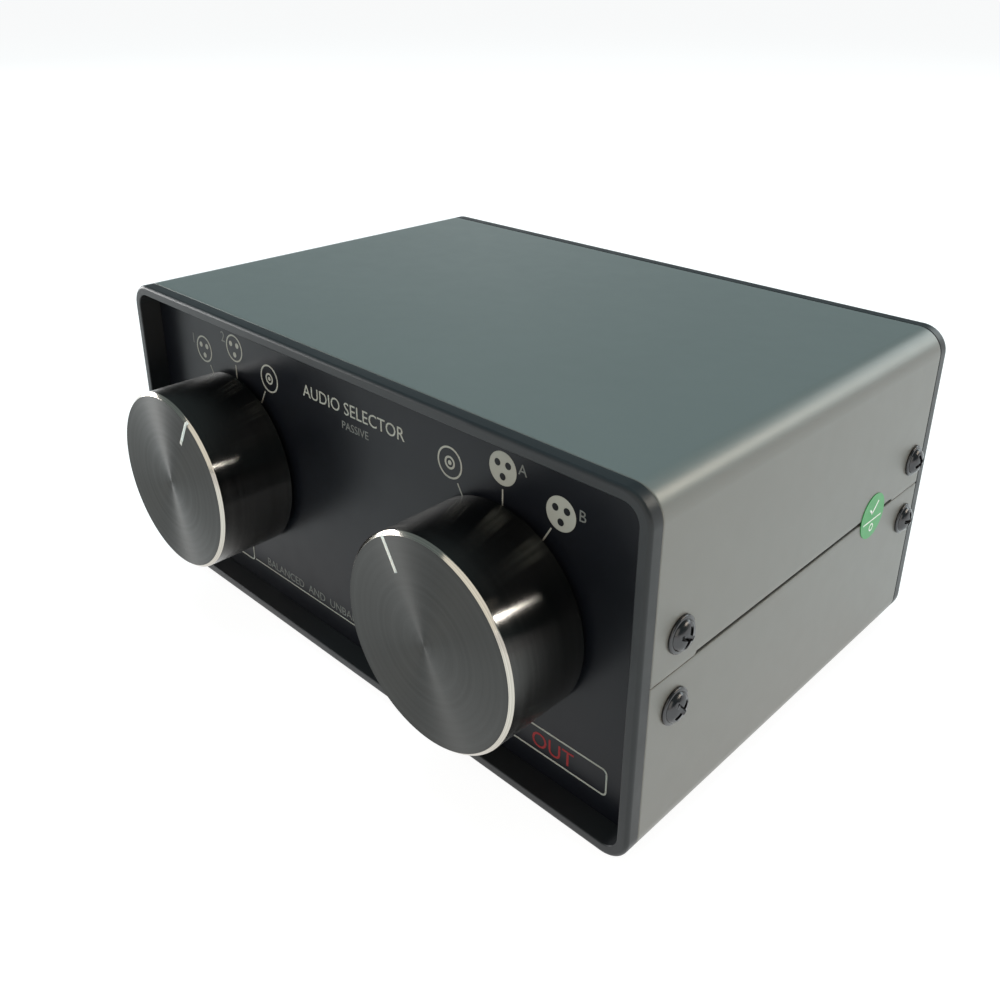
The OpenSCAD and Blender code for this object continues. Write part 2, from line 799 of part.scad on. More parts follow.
// A ribbon leaves one plug level, hangs in a loop and enters the other plug level.
// The loop is two quarter turns, two straight legs and a half turn, all bends of one radius.
module ribbon_cables() {
    y0 = selector_y + board_t + header_d + plug_d;
    y1 = connector_y - header_d - plug_d;
    bend_r = (y1 - y0) / 4;
    leg_z = mid_z - bend_r - ribbon_drop;
    color("#8a8d92") in_frame() for (x = [-ribbon_x, ribbon_x]) {
        ribbon_bend(x, y0, mid_z - bend_r, bend_r, 0, 90);
        ribbon_bend(x, y0 + 2 * bend_r, leg_z, bend_r, 180, 180);
        ribbon_bend(x, y1, mid_z - bend_r, bend_r, 90, 90);
        for (y = [y0 + bend_r, y1 - bend_r])
            brick(x, leg_z + ribbon_drop / 2, y - ribbon_t / 2, y + ribbon_t / 2, ribbon_w, ribbon_drop);
    }
}

// Part of a turn about an axis along X, at (y, z), from one angle over a span
module ribbon_bend(x, y, z, r, from, span) {
    translate([x - ribbon_w / 2, y, z]) rotate([90, 0, 90]) rotate([0, 0, from])
        rotate_extrude(angle = span) translate([r - ribbon_t / 2, 0]) square([ribbon_t, ribbon_w]);
}

// Square flange with two screw holes and the tube behind it
module socket_shell(x, z, bore_r) {
    difference() {
        union() {
            slab(x, z, rear_face, mouth_y) rounded_rect(flange_w, flange_h, flange_corner_r);
            rod(x, z, socket_back, rear_face + flange_t / 2, barrel_r);
        }
        rod(x, z, socket_back - cut, mouth_y + cut, bore_r);
        for (s = [-1, 1])
            rod(x - s * socket_screw_x, z + s * socket_screw_z, rear_face - cut, mouth_y + cut,
                socket_screw_r + seat_fit);
    }
}

module input_socket(i) {
    x = socket_x(i);
    z = input_z;
    slot_h = latch_t + 2 * slide_gap;
    slot_z = z + latch_z + latch_t / 2;
    neck_y = mouth_y - latch_neck;
    color("#19191b") in_frame() difference() {
        socket_shell(x, z, groove_r);
        brick(x, slot_z, neck_y - cut, mouth_y + cut, latch_w + 2 * slide_gap, slot_h);
        brick(x, slot_z, neck_y - latch_pocket, neck_y, 2 * pocket_half_w, slot_h);
    }
}

// Nose that a plug's sleeve goes round, with a bore for each contact
module input_inserts() {
    nose_y = mouth_y - cup_d;
    color("#222224") in_frame() for (i = [0:3]) difference() {
        rod(socket_x(i), input_z, nose_y, mouth_y, insert_r);
        for (a = contact_angles)
            rod(contact_x(socket_x(i), a), contact_z(input_z, a), nose_y - cut, mouth_y + cut,
                contact_bore_r);
    }
}

// Base that carries a nose and fills the bore behind it, with a hole for each contact's tail
module input_insert_bases() {
    nose_y = mouth_y - cup_d;
    color("#222224") in_frame() for (i = [0:3]) difference() {
        rod(socket_x(i), input_z, socket_back, nose_y, groove_r - seat_fit);
        for (a = contact_angles)
            rod(contact_x(socket_x(i), a), contact_z(input_z, a), socket_back - cut, nose_y + cut,
                terminal_r + seat_fit);
    }
}

function contact_x(x, a) = x + contact_circle_r * sin(a);
function contact_z(z, a) = z + contact_circle_r * cos(a);

module input_latch(i) {
    x = socket_x(i);
    mid = input_z + latch_z + latch_t / 2;
    foot_y = latch_rest - latch_foot_l;
    color("#a7a9ac") in_frame() union() {
        brick(x, mid, foot_y, mouth_y + latch_proud, latch_w, latch_t);
        brick(x, mid, foot_y, latch_rest, latch_foot_w, latch_t);
        brick(x, mid - (latch_t / 2 + hook_h) / 2, foot_y, latch_rest, hook_w, latch_t / 2 + hook_h);
    }
}

module output_socket(i) {
    x = socket_x(i);
    z = output_z;
    color("#19191b") in_frame() difference() {
        socket_shell(x, z, cup_r);
        brick(x, z + cup_r, mouth_y - cup_d, mouth_y + cut, keyway_w, 2 * keyway_h);
    }
}

// Base of an output cup, which holds the pins
module output_inserts() {
    color("#222224") in_frame() for (i = [0:3]) difference() {
        rod(socket_x(i), output_z, socket_back, mouth_y - cup_d, cup_r - seat_fit);
        for (a = contact_angles)
            rod(contact_x(socket_x(i), a), contact_z(output_z, a), socket_back - cut, mouth_y,
                pin_r + seat_fit);
    }
}

// Sleeve that takes a plug's pin, with a tail to the connector board
module input_contacts() {
    sleeve_y = mouth_y - cup_d;
    sleeve_end_y = mouth_y - contact_setback;
    color("#cdb56b") in_frame() for (i = [0:3], a = contact_angles) {
        x = contact_x(socket_x(i), a);
        z = contact_z(input_z, a);
        difference() {
            union() {
                rod(x, z, sleeve_y, sleeve_end_y, contact_bore_r - seat_fit);
                rod(x, z, socket_back, sleeve_y + contact_wall, terminal_r);
            }
            rod(x, z, sleeve_y + 2 * contact_wall, sleeve_end_y + cut, pin_r + run_fit);
        }
    }
}

module output_pins() {
    tip_y = mouth_y - pin_setback;
    color("#cdb56b") in_frame() for (i = [0:3], a = contact_angles) {
        x = contact_x(socket_x(i), a);
        z = contact_z(output_z, a);
        rod(x, z, socket_back, tip_y - pin_r / 2, pin_r);
        translate([x, tip_y - pin_r / 2, z]) rotate([-90, 0, 0])
            cylinder(h = pin_r / 2, r1 = pin_r, r2 = pin_r / 2);
    }
}

module socket_screws() {
    thread_l = flange_t + panel_t + socket_screw_tail;
    color("#3a3a3c") in_frame() for (i = [0:3], z = [input_z, output_z], s = [-1, 1])
        translate([socket_x(i) - s * socket_screw_x, mouth_y, z + s * socket_screw_z]) rotate([-90, 0, 0])
            cross_screw(socket_screw_r, thread_l, socket_head_r, socket_head_h / 3, socket_head_h * 2 / 3);
}

module phono_block(z) {
    difference() {
        union() {
            brick(phono_x, z, phono_back, rear_inner, phono_block_w, phono_block_h);
            for (up = [-1, 1])
                rod(phono_x, phono_z(z, up), rear_inner - cut, phono_seat, phono_boss_r);
        }
        for (up = [-1, 1])
            rod(phono_x, phono_z(z, up), rear_inner - phono_in, phono_tip, phono_root_r + seat_fit);
        rod(phono_x + phono_screw_x, z, rear_inner - phono_screw_in - seat_fit, rear_inner + cut,
            socket_screw_r + seat_fit);
    }
}

module input_phono_block() {
    color("#d9d9d6") in_frame() phono_block(input_z);
}

module output_phono_block() {
    color("#2a2a2c") in_frame() phono_block(output_z);
}

// Barrel that a plug's ring grips, with a thinner root in the block
module phono_barrel(row_z, up) {
    z = phono_z(row_z, up);
    root_y = rear_inner - phono_in;
    color("#c8b26a") in_frame() difference() {
        union() {
            rod(phono_x, z, root_y, phono_tip, phono_root_r);
            rod(phono_x, z, phono_seat, phono_tip, phono_r);
        }
        rod(phono_x, z, root_y - cut, phono_tip + cut, phono_r - phono_wall);
    }
}

module phono_insulators() {
    color("#a83232") in_frame() for (up = [-1, 1], z = [input_z, output_z])
        tube(phono_x, phono_z(z, up), rear_inner - phono_in, phono_insulator_tip,
            phono_r - phono_wall - seat_fit, phono_pin_r + phono_contact_wall + seat_fit);
}

module phono_contacts() {
    color("#cdb56b") in_frame() for (up = [-1, 1], z = [input_z, output_z])
        tube(phono_x, phono_z(z, up), rear_inner - phono_in, phono_contact_tip,
            phono_pin_r + phono_contact_wall, phono_pin_r);
}

module phono_screws() {
    color("#3a3a3c") in_frame() for (z = [input_z, output_z])
        translate([phono_x + phono_screw_x, rear_face, z]) rotate([-90, 0, 0])
            cross_screw(socket_screw_r, panel_t + phono_screw_in, socket_head_r, socket_head_h / 3,
                socket_head_h * 2 / 3);
}

module phono_leads() {
    color("#b8b8b8") in_frame() for (up = [-1, 1], z = [input_z, output_z], shift = [0, lead_gap])
        rod(phono_x - shift, phono_z(z, up), socket_back, phono_back, lead_r);
}

front_bezel();
rear_bezel();
front_panel();
rear_panel();
upper_shell();
lower_shell();
case_screws();
rubber_feet();
inspection_sticker();
input_knob();
output_knob();
input_grub_screw();
output_grub_screw();
input_spindle();
output_spindle();
input_bush();
output_bush();
bush_nuts();
lock_washers();
input_switch_case();
output_switch_case();
input_rotor();
output_rotor();
input_index_spring();
output_index_spring();
contact_plates();
switch_terminals();
selector_board();
connector_board();
board_headers();
ribbon_plugs();
ribbon_cables();
input_socket(0);  // input_socket_1_left
input_socket(1);  // input_socket_1_right
input_socket(2);  // input_socket_2_left
input_socket(3);  // input_socket_2_right
input_latch(0);  // input_latch_1_left
input_latch(1);  // input_latch_1_right
input_latch(2);  // input_latch_2_left
input_latch(3);  // input_latch_2_right
output_socket(0);  // output_socket_a_left
output_socket(1);  // output_socket_a_right
output_socket(2);  // output_socket_b_left
output_socket(3);  // output_socket_b_right
input_inserts();
input_insert_bases();
output_inserts();
input_contacts();
output_pins();
socket_screws();
input_phono_block();
output_phono_block();
phono_barrel(input_z, 1);  // input_phono_left
phono_barrel(input_z, -1);  // input_phono_right
phono_barrel(output_z, 1);  // output_phono_left
phono_barrel(output_z, -1);  // output_phono_right
phono_insulators();
phono_contacts();
phono_screws();
phono_leads();
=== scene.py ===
"""Dresses the audio switch box: a bent sheet case, two turned knobs in front, sockets at the rear.

Sizes are in millimetres in the case's own frame: x from the middle, y from the front edge of the
front bezel towards the rear, z from the underside of the case.
"""

import json
import logging
import math
from dataclasses import dataclass, replace
from enum import Enum
from typing import Any, Callable, Iterable

import bmesh
import bpy
import numpy as np
from mathutils import Matrix, Vector


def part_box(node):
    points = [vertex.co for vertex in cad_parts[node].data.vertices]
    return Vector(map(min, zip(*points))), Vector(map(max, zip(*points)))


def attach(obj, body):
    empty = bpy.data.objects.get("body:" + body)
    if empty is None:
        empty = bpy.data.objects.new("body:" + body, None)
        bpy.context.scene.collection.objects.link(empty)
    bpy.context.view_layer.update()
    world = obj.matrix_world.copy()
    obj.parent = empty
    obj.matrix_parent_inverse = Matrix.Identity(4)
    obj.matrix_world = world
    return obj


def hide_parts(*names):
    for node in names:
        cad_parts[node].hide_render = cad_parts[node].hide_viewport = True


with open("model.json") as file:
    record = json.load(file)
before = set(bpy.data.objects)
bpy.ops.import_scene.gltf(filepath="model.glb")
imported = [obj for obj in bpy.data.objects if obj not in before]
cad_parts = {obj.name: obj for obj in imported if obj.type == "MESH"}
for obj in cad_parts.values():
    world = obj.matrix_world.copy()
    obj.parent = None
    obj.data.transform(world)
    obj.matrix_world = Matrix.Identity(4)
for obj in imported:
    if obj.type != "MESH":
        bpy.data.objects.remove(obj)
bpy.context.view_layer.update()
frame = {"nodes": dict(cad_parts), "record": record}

LOG = logging.getLogger("switch_box")
MM = 0.001
WELD = 4e-7
CASE_BODY = "case"
ORIGIN = np.array([0.0, *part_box("front_bezel")[0][1:]])
Array = np.ndarray
Pair = tuple[float, float]
Triple = tuple[float, float, float]
Row = tuple[float, ...]
Colour = Triple


class Facing(Enum):
    """Ways that a piece can face: its right, its up and its outward direction, as rows."""

    FRONT = ((1, 0, 0), (0, 0, 1), (0, -1, 0))
    REAR = ((-1, 0, 0), (0, 0, 1), (0, 1, 0))
    RIGHT = ((0, 1, 0), (0, 0, 1), (1, 0, 0))
    LEFT = ((0, -1, 0), (0, 0, 1), (-1, 0, 0))
    DOWN = ((1, 0, 0), (0, -1, 0), (0, 0, -1))


class Use(Enum):
    """What a lamp does: whether it lights matt surfaces, and whether it shines in glossy ones."""

    BOTH = (True, True)
    FILL = (True, False)
    SHINE = (False, True)


@dataclass
class Surface:
    """Points with faces, a paint number a face and a pair of surface coordinates a point."""

    points: Array
    faces: list[Array]
    paint: Array
    uv: Array

    @classmethod
    def of(cls, points: Array, faces: Array, paint: Any = 0,
           uv: Array | None = None) -> "Surface":
        """Makes a surface from one block of faces.

        Args:
            points: array of points, its last axis x, y, z.
            faces: array of corner numbers, one row a face.
            paint: one number for all faces, or one a face.
            uv: surface coordinates of the points, or None.

        Returns:
            The surface.
        """
        flat = np.asarray(points, float).reshape(-1, 3)
        pair = np.zeros((len(flat), 2)) if uv is None else np.asarray(uv, float).reshape(-1, 2)
        numbers = np.broadcast_to(np.asarray(paint, int).ravel(), len(faces)).copy()
        return cls(flat, [faces], numbers, pair)

    def placed(self, facing: Facing, origin: Iterable[float]) -> "Surface":
        """Moves a surface drawn as (right, up, out) into the case's frame.

        Args:
            facing: the way that it faces.
            origin: where its own origin goes.

        Returns:
            The moved surface.
        """
        turned = self.points @ np.array(facing.value, float)
        return replace(self, points=turned + np.array(tuple(origin), float))

    def turned(self, degrees: float) -> "Surface":
        """Turns a surface drawn as (right, up, out) clockwise about its outward axis."""
        c, s = math.cos(math.radians(degrees)), math.sin(math.radians(degrees))
        return replace(self, points=self.points @ np.array([[c, -s, 0], [s, c, 0], [0, 0, 1]]))

    def shifted(self, right: float, up: float) -> "Surface":
        """Moves a surface drawn as (right, up, out) in its own plane."""
        return replace(self, points=self.points + np.array([right, up, 0.0]))

    def painted(self, paint: int) -> "Surface":
        """Gives every face one paint number."""
        return replace(self, paint=np.full(len(self.paint), paint))


def joined(*parts: Surface) -> Surface:
    """Puts several surfaces into one.

    Args:
        parts: the surfaces.

    Returns:
        One surface with all their points and faces.
    """
    starts = np.cumsum([0] + [len(p.points) for p in parts])
    faces = [block + start for p, start in zip(parts, starts) for block in p.faces]
    return Surface(np.concatenate([p.points for p in parts]), faces,
                   np.concatenate([p.paint for p in parts]), np.concatenate([p.uv for p in parts]))


def quads(rows: int, columns: int, close_rows: bool = False,
          close_columns: bool = False) -> Array:
    """Faces of a grid of points numbered row by row.

    Args:
        rows: number of rows.
        columns: number of columns.
        close_rows: whether the last row meets the first.
        close_columns: whether the last column meets the first.

    Returns:
        Corner numbers, four a face.
    """
    i, j = np.meshgrid(np.arange(rows if close_rows else rows - 1),
                       np.arange(columns if close_columns else columns - 1), indexing="ij")
    below, beside = (i + 1) % rows, (j + 1) % columns
    corners = [i * columns + j, below * columns + j, below * columns + beside, i * columns + beside]
    return np.stack(corners, axis=-1).reshape(-1, 4)


def rounded_profile(corners: Array, radii: Iterable[float], steps: int = 4) -> Array:
    """Closed profile with rounded corners: each corner becomes an arc about the point on its
    bisector whose distance from both edges is the radius.

    Args:
        corners: corner points, in order.
        radii: radius at each corner.
        steps: parts of each arc.

    Returns:
        The points of the profile.
    """
    p, r = np.asarray(corners, float), np.array(tuple(radii), float)[:, None]
    back, ahead = np.roll(p, 1, axis=0) - p, np.roll(p, -1, axis=0) - p
    back /= np.linalg.norm(back, axis=1, keepdims=True)
    ahead /= np.linalg.norm(ahead, axis=1, keepdims=True)
    half = np.arccos(np.clip((back * ahead).sum(1, keepdims=True), -1, 1)) / 2
    bisector = (back + ahead) / np.linalg.norm(back + ahead, axis=1, keepdims=True)
    middle = p + bisector * r / np.sin(half)
    first, last = p + back * r / np.tan(half) - middle, p + ahead * r / np.tan(half) - middle
    sweep = np.pi - 2 * half
    t = np.linspace(0, 1, steps + 1)[None, :]
    arcs = (np.sin((1 - t) * sweep)[..., None] * first[:, None]
            + np.sin(t * sweep)[..., None] * last[:, None])
    return (middle[:, None] + arcs / np.sin(sweep)[..., None]).reshape(-1, 2)


def corner_path(width: float, height: float, radius: float,
                steps: int) -> tuple[Array, Array]:
    """Path round a rounded rectangle: four quarter turns about the corners' middles.

    Args:
        width: outer width.
        height: outer height.
        radius: corner radius.
        steps: parts of each quarter turn.

    Returns:
        The middle that each station turns about, and its outward direction.
    """
    starts = np.array([0, 90, 180, 270])[:, None]
    angles = np.radians(np.linspace(0, 90, steps + 1)[None, :] + starts)
    outward = np.stack([np.cos(angles), np.sin(angles)], axis=-1)
    signs = np.array([[1, 1], [-1, 1], [-1, -1], [1, -1]], float)
    middles = signs * (np.array([width, height]) / 2 - radius)
    return np.broadcast_to(middles[:, None], outward.shape).reshape(-1, 2), outward.reshape(-1, 2)


def framed(width: float, height: float, radius: float, profile: Array,
           steps: int = 12) -> Surface:
    """Carries a closed profile of (inset, out) round a rounded rectangle: each point is the
    corner's middle plus the outward direction times the radius less the inset.

    Args:
        width: outer width.
        height: outer height.
        radius: outer corner radius.
        profile: points of the profile.
        steps: parts of each corner.

    Returns:
        A closed ring, drawn as (right, up, out).
    """
    middles, outward = corner_path(width, height, radius, steps)
    flat = middles[None] + outward[None] * (radius - profile[:, 0])[:, None, None]
    out = np.broadcast_to(profile[:, 1][:, None, None], flat.shape[:2] + (1,))
    return Surface.of(np.concatenate([flat, out], axis=-1), quads(*flat.shape[:2], True, True))


def spun(profile: Any, columns: int = 48, closed: bool = False) -> Surface:
    """Turns a profile of (radius, out) about the outward axis: each point is radius times cosine
    and sine of the angle. Surface coordinates run along the profile and round the axis.

    Args:
        profile: points of the profile.
        columns: parts of the turn.
        closed: whether the profile's end meets its start.

    Returns:
        The turned surface, drawn as (right, up, out).
    """
    line = np.vstack([profile, profile[:1]]) if closed else np.asarray(profile, float)
    angle = np.linspace(0, 2 * np.pi, columns + 1)
    radius, out = line[:, :1], line[:, 1:]
    points = np.stack([radius * np.cos(angle), radius * np.sin(angle), out + 0 * angle], axis=-1)
    return Surface.of(points, quads(len(line), columns + 1), uv=turned_uv(line, angle[None]))


def turned_uv(line: Array, angle: Array) -> Array:
    """Surface coordinates of a turned piece: length along the profile, and ten times the angle."""
    along = np.concatenate([[0], np.cumsum(np.linalg.norm(np.diff(line, axis=0), axis=1))])
    return np.stack(np.broadcast_arrays(along[:, None], angle * 10), axis=-1)


def prism(outline: Array, low: float, high: float) -> Surface:
    """Closes a flat outline into a thin plate: the middle, the outline at both levels, the middle.

    Args:
        outline: points (right, up), in order, seen whole from their middle.
        low: level of its back.
        high: level of its face.

    Returns:
        The plate, drawn as (right, up, out).
    """
    middle = np.broadcast_to(outline.mean(axis=0), outline.shape)
    flat = np.stack([middle, outline, outline, middle])
    levels = np.array([low, low, high, high])[:, None, None] + np.zeros(flat.shape[:2] + (1,))
    points = np.concatenate([flat, levels], axis=-1)
    return Surface.of(points, quads(4, len(outline), False, True))


def rounded_box(corner: Iterable[float], opposite: Iterable[float], radius: float,
                steps: int = 3) -> Surface:
    """Box with rounded edges: a sphere's directions times the radius, each octant moved out to its
    corner of the box, with a flat cap at both ends.

    Args:
        corner: one corner.
        opposite: the corner across from it.
        radius: radius of the edges.
        steps: parts of each quarter turn.

    Returns:
        The box.
    """
    low, high = np.sort(np.array([tuple(corner), tuple(opposite)], float), axis=0)
    middle, quarter = (low + high) / 2, np.linspace(0, 90, steps + 1)
    rise = np.radians(np.concatenate([quarter - 90, quarter]))[:, None]
    upper = np.repeat([-1.0, 1.0], steps + 1)[:, None]
    turn = np.radians((quarter[None] + 90 * np.arange(4)[:, None]).ravel())[None]
    side_x = np.repeat([1.0, -1.0, -1.0, 1.0], steps + 1)[None]
    side_y = np.repeat([1.0, 1.0, -1.0, -1.0], steps + 1)[None]
    way = np.stack(np.broadcast_arrays(np.cos(rise) * np.cos(turn), np.cos(rise) * np.sin(turn),
                                       np.sin(rise)), axis=-1)
    side = np.stack(np.broadcast_arrays(side_x, side_y, upper), axis=-1)
    points = middle + side * ((high - low) / 2 - radius) + way * radius
    caps = [np.broadcast_to([*middle[:2], z], (1,) + points.shape[1:]) for z in (low[2], high[2])]
    points = np.concatenate([caps[0], points, caps[1]])
    return Surface.of(points, quads(points.shape[0], points.shape[1], False, True))


def drawn_in(a: Array, b: Array, share: Callable[[Array], Array]) -> tuple[Array, Array]:
    """Draws squares about a middle in to circles: a point's square size over its distance.

    Args:
        a: distances from the middle one way.
        b: distances the other way.
        share: how far a square of a given size is drawn in, 0 to 1.

    Returns:
        The size of each point's square, and the factor that draws the point in.
    """
    size, away = np.maximum(abs(a), abs(b)), np.hypot(a, b)
    ratio = np.divide(size, away, out=np.ones_like(size), where=away > 0)
    return size, 1 + share(size) * (ratio - 1)


def letters(text: str, height: float, low: float, high: float) -> Surface:
    """Plain capitals or figures from the built-in type, made a mesh and centred.

    Args:
        text: what is written.
        height: height of the capitals.
        low: level of the back.
        high: level of the face.

    Returns:
        The letters, drawn as (right, up, out).
    """
    curve = bpy.data.curves.new("letters", "FONT")
    curve.body, curve.extrude, curve.resolution_u, curve.align_x = text, 0.5, 3, "CENTER"
    carrier = bpy.data.objects.new("letters", curve)
    bpy.context.scene.collection.objects.link(carrier)
    graph = bpy.context.evaluated_depsgraph_get()
    mesh = bpy.data.meshes.new_from_object(carrier.evaluated_get(graph))
    mesh.calc_loop_triangles()
    points = np.empty(len(mesh.vertices) * 3)
    mesh.vertices.foreach_get("co", points)
    faces = np.empty(len(mesh.loop_triangles) * 3, int)
    mesh.loop_triangles.foreach_get("vertices", faces)
    bpy.data.objects.remove(carrier)
    bpy.data.curves.remove(curve)
    bpy.data.meshes.remove(mesh)
    points = points.reshape(-1, 3)
    bottom, top = points[:, :2].min(axis=0), points[:, :2].max(axis=0)
    points[:, :2] = (points[:, :2] - (bottom + top) / 2) * height / (top[1] - bottom[1])
    points[:, 2] = np.where(points[:, 2] > 0, high, low)
    return Surface.of(points, faces.reshape(-1, 3))


def bar(start: Iterable[float], end: Iterable[float], width: float, high: float) -> Surface:
    """Straight printed line with square ends: a plate of the given width along its length.

    Args:
        start: one end (right, up).
        end: the other end.
        width: width of the line.
        high: level of its face.

    Returns:
        The line, drawn as (right, up, out).
    """
    p, q = np.array(tuple(start), float), np.array(tuple(end), float)
    along = (q - p) / np.linalg.norm(q - p)
    across = np.array([-along[1], along[0]]) * width / 2
    return prism(np.array([p - across, q - across, q + across, p + across]), 0, high)


def hoop(radius: float, width: float, low: float, high: float, columns: int = 40) -> Surface:
    """Printed ring: a flat band turned about its middle; one as wide as its radius is a disc."""
    inner = radius - width
    return spun([[inner, low], [radius, low], [radius, high], [inner, high]], columns, True)


def box_mm(node: str) -> tuple[Array, Array]:
    """Lowest and highest corner of a CAD node in the case's frame, in millimetres."""
    low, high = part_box(node)
    return (np.array(low) - ORIGIN) / MM, (np.array(high) - ORIGIN) / MM


def middle_mm(node: str) -> Array:
    """Middle of a CAD node's box in the case's frame, in millimetres."""
    return np.add(*box_mm(node)) / 2


class Tree:
    """Node tree of one material, with a principled shader ready to be wired."""

    def __init__(self, name: str) -> None:
        """Starts an empty material.

        Args:
            name: name of the finish.
        """
        self.material = bpy.data.materials.new(name)
        self.material.use_nodes = True
        self.nodes = self.material.node_tree.nodes
        self.nodes.clear()
        self.output = self.nodes.new("ShaderNodeOutputMaterial")
        self.shader = self.nodes.new("ShaderNodeBsdfPrincipled")
        self.feed(self.output.inputs[0], self.shader.outputs[0])

    def feed(self, target: Any, value: Any) -> None:
        """Wires a socket to an input, or sets the input's value.

        Args:
            target: the input.
            value: socket, number, vector, or colour without its alpha.
        """
        if isinstance(value, bpy.types.NodeSocket):
            self.material.node_tree.links.new(value, target)
        else:
            target.default_value = (*value, 1.0) if target.type == "RGBA" else value

    def node(self, kind: str, inputs: dict[Any, Any], **settings: Any) -> Any:
        """Adds a node.

        Args:
            kind: the node's type, without its usual prefix.
            inputs: a socket to wire or a value to set, by input name or number.
            settings: properties of the node.

        Returns:
            The node.
        """
        made = self.nodes.new("ShaderNode" + kind)
        for key, value in settings.items():
            setattr(made, key, value)
        for key, value in inputs.items():
            self.feed(made.inputs[key], value)
        return made

    def place(self) -> Any:
        """Socket with the position on the piece."""
        return self.node("TexCoord", {}).outputs["Object"]

    def noise(self, size: float, detail: float, place: Any) -> Any:
        """Cloudy pattern.

        Args:
            size: size of its patches in millimetres.
            detail: finer layers in it.
            place: position socket.

        Returns:
            The socket of its strength.
        """
        inputs = {"Vector": place, "Scale": 1 / (size * MM), "Detail": detail}
        return self.node("TexNoise", inputs).outputs[0]

    def strands(self, along: Any, scale: float, detail: float) -> Any:
        """Pattern that changes along one direction only.

        Args:
            along: socket of the distance.
            scale: number of patches in a unit of it.
            detail: finer layers in it.

        Returns:
            The socket of its strength.
        """
        inputs = {"W": along, "Scale": scale, "Detail": detail}
        return self.node("TexNoise", inputs, noise_dimensions="1D").outputs[0]

    def math(self, operation: str, first: Any, second: Any = 0.0) -> Any:
        """Socket of a calculation with sockets or numbers."""
        return self.node("Math", {0: first, 1: second}, operation=operation).outputs[0]

    def between(self, strength: Any, low: float, high: float, start: float = 0.3,
                end: float = 0.7) -> Any:
        """Socket that goes from low to high as the strength goes from start to end."""
        return self.node("MapRange", {0: strength, 1: start, 2: end, 3: low, 4: high}).outputs[0]

    def mix(self, strength: Any, first: Colour, second: Colour) -> Any:
        """Colour socket that goes from the first to the second as the strength goes to 1."""
        return self.node("Mix", {0: strength, 6: first, 7: second}, data_type="RGBA").outputs[2]

    def drift(self, strength: Any, colour: Colour, share: float) -> Any:
        """Colour socket that goes from a share darker than a colour to a share lighter."""
        ends = scaled(colour, 1 - share), scaled(colour, 1 + share)
        return self.mix(self.between(strength, 0, 1), *ends)

    def bump(self, height: Any, depth: float, normal: Any = None) -> Any:
        """Normal socket of a relief.

        Args:
            height: socket of its height, 0 to 1.
            depth: its depth in millimetres.
            normal: normal socket that it lies on, or None.

        Returns:
            The normal socket.
        """
        made = self.node("Bump", {"Height": height, "Strength": 1.0, "Distance": depth * MM})
        if normal is not None:
            self.feed(made.inputs["Normal"], normal)
        return made.outputs[0]

    def wire(self, **inputs: Any) -> bpy.types.Material:
        """Sets or wires inputs of the shader.

        Args:
            inputs: sockets or numbers, by input name with _ for spaces.

        Returns:
            The finished material.
        """
        for key, value in inputs.items():
            self.feed(self.shader.inputs[key.replace("_", " ")], value)
        return self.material


def scaled(colour: Colour, factor: float) -> Colour:
    """A colour made lighter or darker by a factor."""
    return tuple(channel * factor for channel in colour)


@dataclass(frozen=True)
class Finish:
    """A named surface finish, made into a material once."""

    name: str
    colour: Colour

    def material(self) -> bpy.types.Material:
        """The material of this finish."""
        return bpy.data.materials.get(self.name) or self.make(Tree(self.name))

    def make(self, tree: Tree) -> bpy.types.Material:
        """Wires the material.

        Args:
            tree: its empty node tree.

        Returns:
            The material.
        """
        raise NotImplementedError


@dataclass(frozen=True)
class Grained(Finish):
    """Painted, moulded or plated surface: colour drifts in large patches, roughness in middle
    ones, and a fine grain stands in relief."""

    drift: float = 0.06
    rough: Pair = (0.38, 0.48)
    grain: float = 0.35
    depth: float = 0.006
    metal: float = 0.0
    gloss: float = 0.5
    edge: float = 0.0
    patch: float = 24.0
    wear: float = 5.0

    def make(self, tree: Tree) -> bpy.types.Material:
        """Wires drift, roughness and grain.

        Args:
            tree: its empty node tree.

        Returns:
            The material.
        """
        place, normal = tree.place(), None
        if self.edge:
            normal = tree.node("Bevel", {"Radius": self.edge * MM}, samples=4).outputs[0]
        return tree.wire(
            Base_Color=tree.drift(tree.noise(self.patch, 3.0, place), self.colour, self.drift),
            Roughness=tree.between(tree.noise(self.wear, 3.0, place), *self.rough),
            Metallic=self.metal, Specular_IOR_Level=self.gloss,
            Normal=tree.bump(tree.noise(self.grain, 2.0, place), self.depth, normal))


@dataclass(frozen=True)
class Plated(Grained):
    """Bare or plated metal."""

    metal: float = 1.0


@dataclass(frozen=True)
class Ink(Grained):
    """Thin matt print."""

    drift: float = 0.08
    rough: Pair = (0.5, 0.6)
    grain: float = 0.2
    depth: float = 0.002
    gloss: float = 0.2


@dataclass(frozen=True)
class Spun(Finish):
    """Turned metal: fine grooves run round the axis, so that light spreads along the profile."""

    rough: float = 0.32
    stretch: float = 0.75
    groove: float = 0.25
    depth: float = 0.0015
    contrast: float = 0.15
    bands: float = 0.7
    band_share: float = 0.08

    def make(self, tree: Tree) -> bpy.types.Material:
        """Wires the grooves along the profile and the stretched gloss.

        Args:
            tree: its empty node tree.

        Returns:
            The material.
        """
        uv = tree.node("UVMap", {}, uv_map="UVMap").outputs[0]
        along = tree.node("SeparateXYZ", {0: uv}).outputs[0]
        rings = tree.strands(along, 1 / self.groove, 3.0)
        smooth, dull = self.rough * (1 - self.band_share), self.rough * (1 + self.band_share)
        tangent = tree.node("Tangent", {}, direction_type="UV_MAP", uv_map="UVMap").outputs[0]
        return tree.wire(
            Base_Color=tree.drift(rings, self.colour, self.contrast),
            Roughness=tree.between(tree.strands(along, self.bands, 2.0), smooth, dull),
            Metallic=1.0, Anisotropic=self.stretch, Tangent=tangent,
            Normal=tree.bump(rings, self.depth))


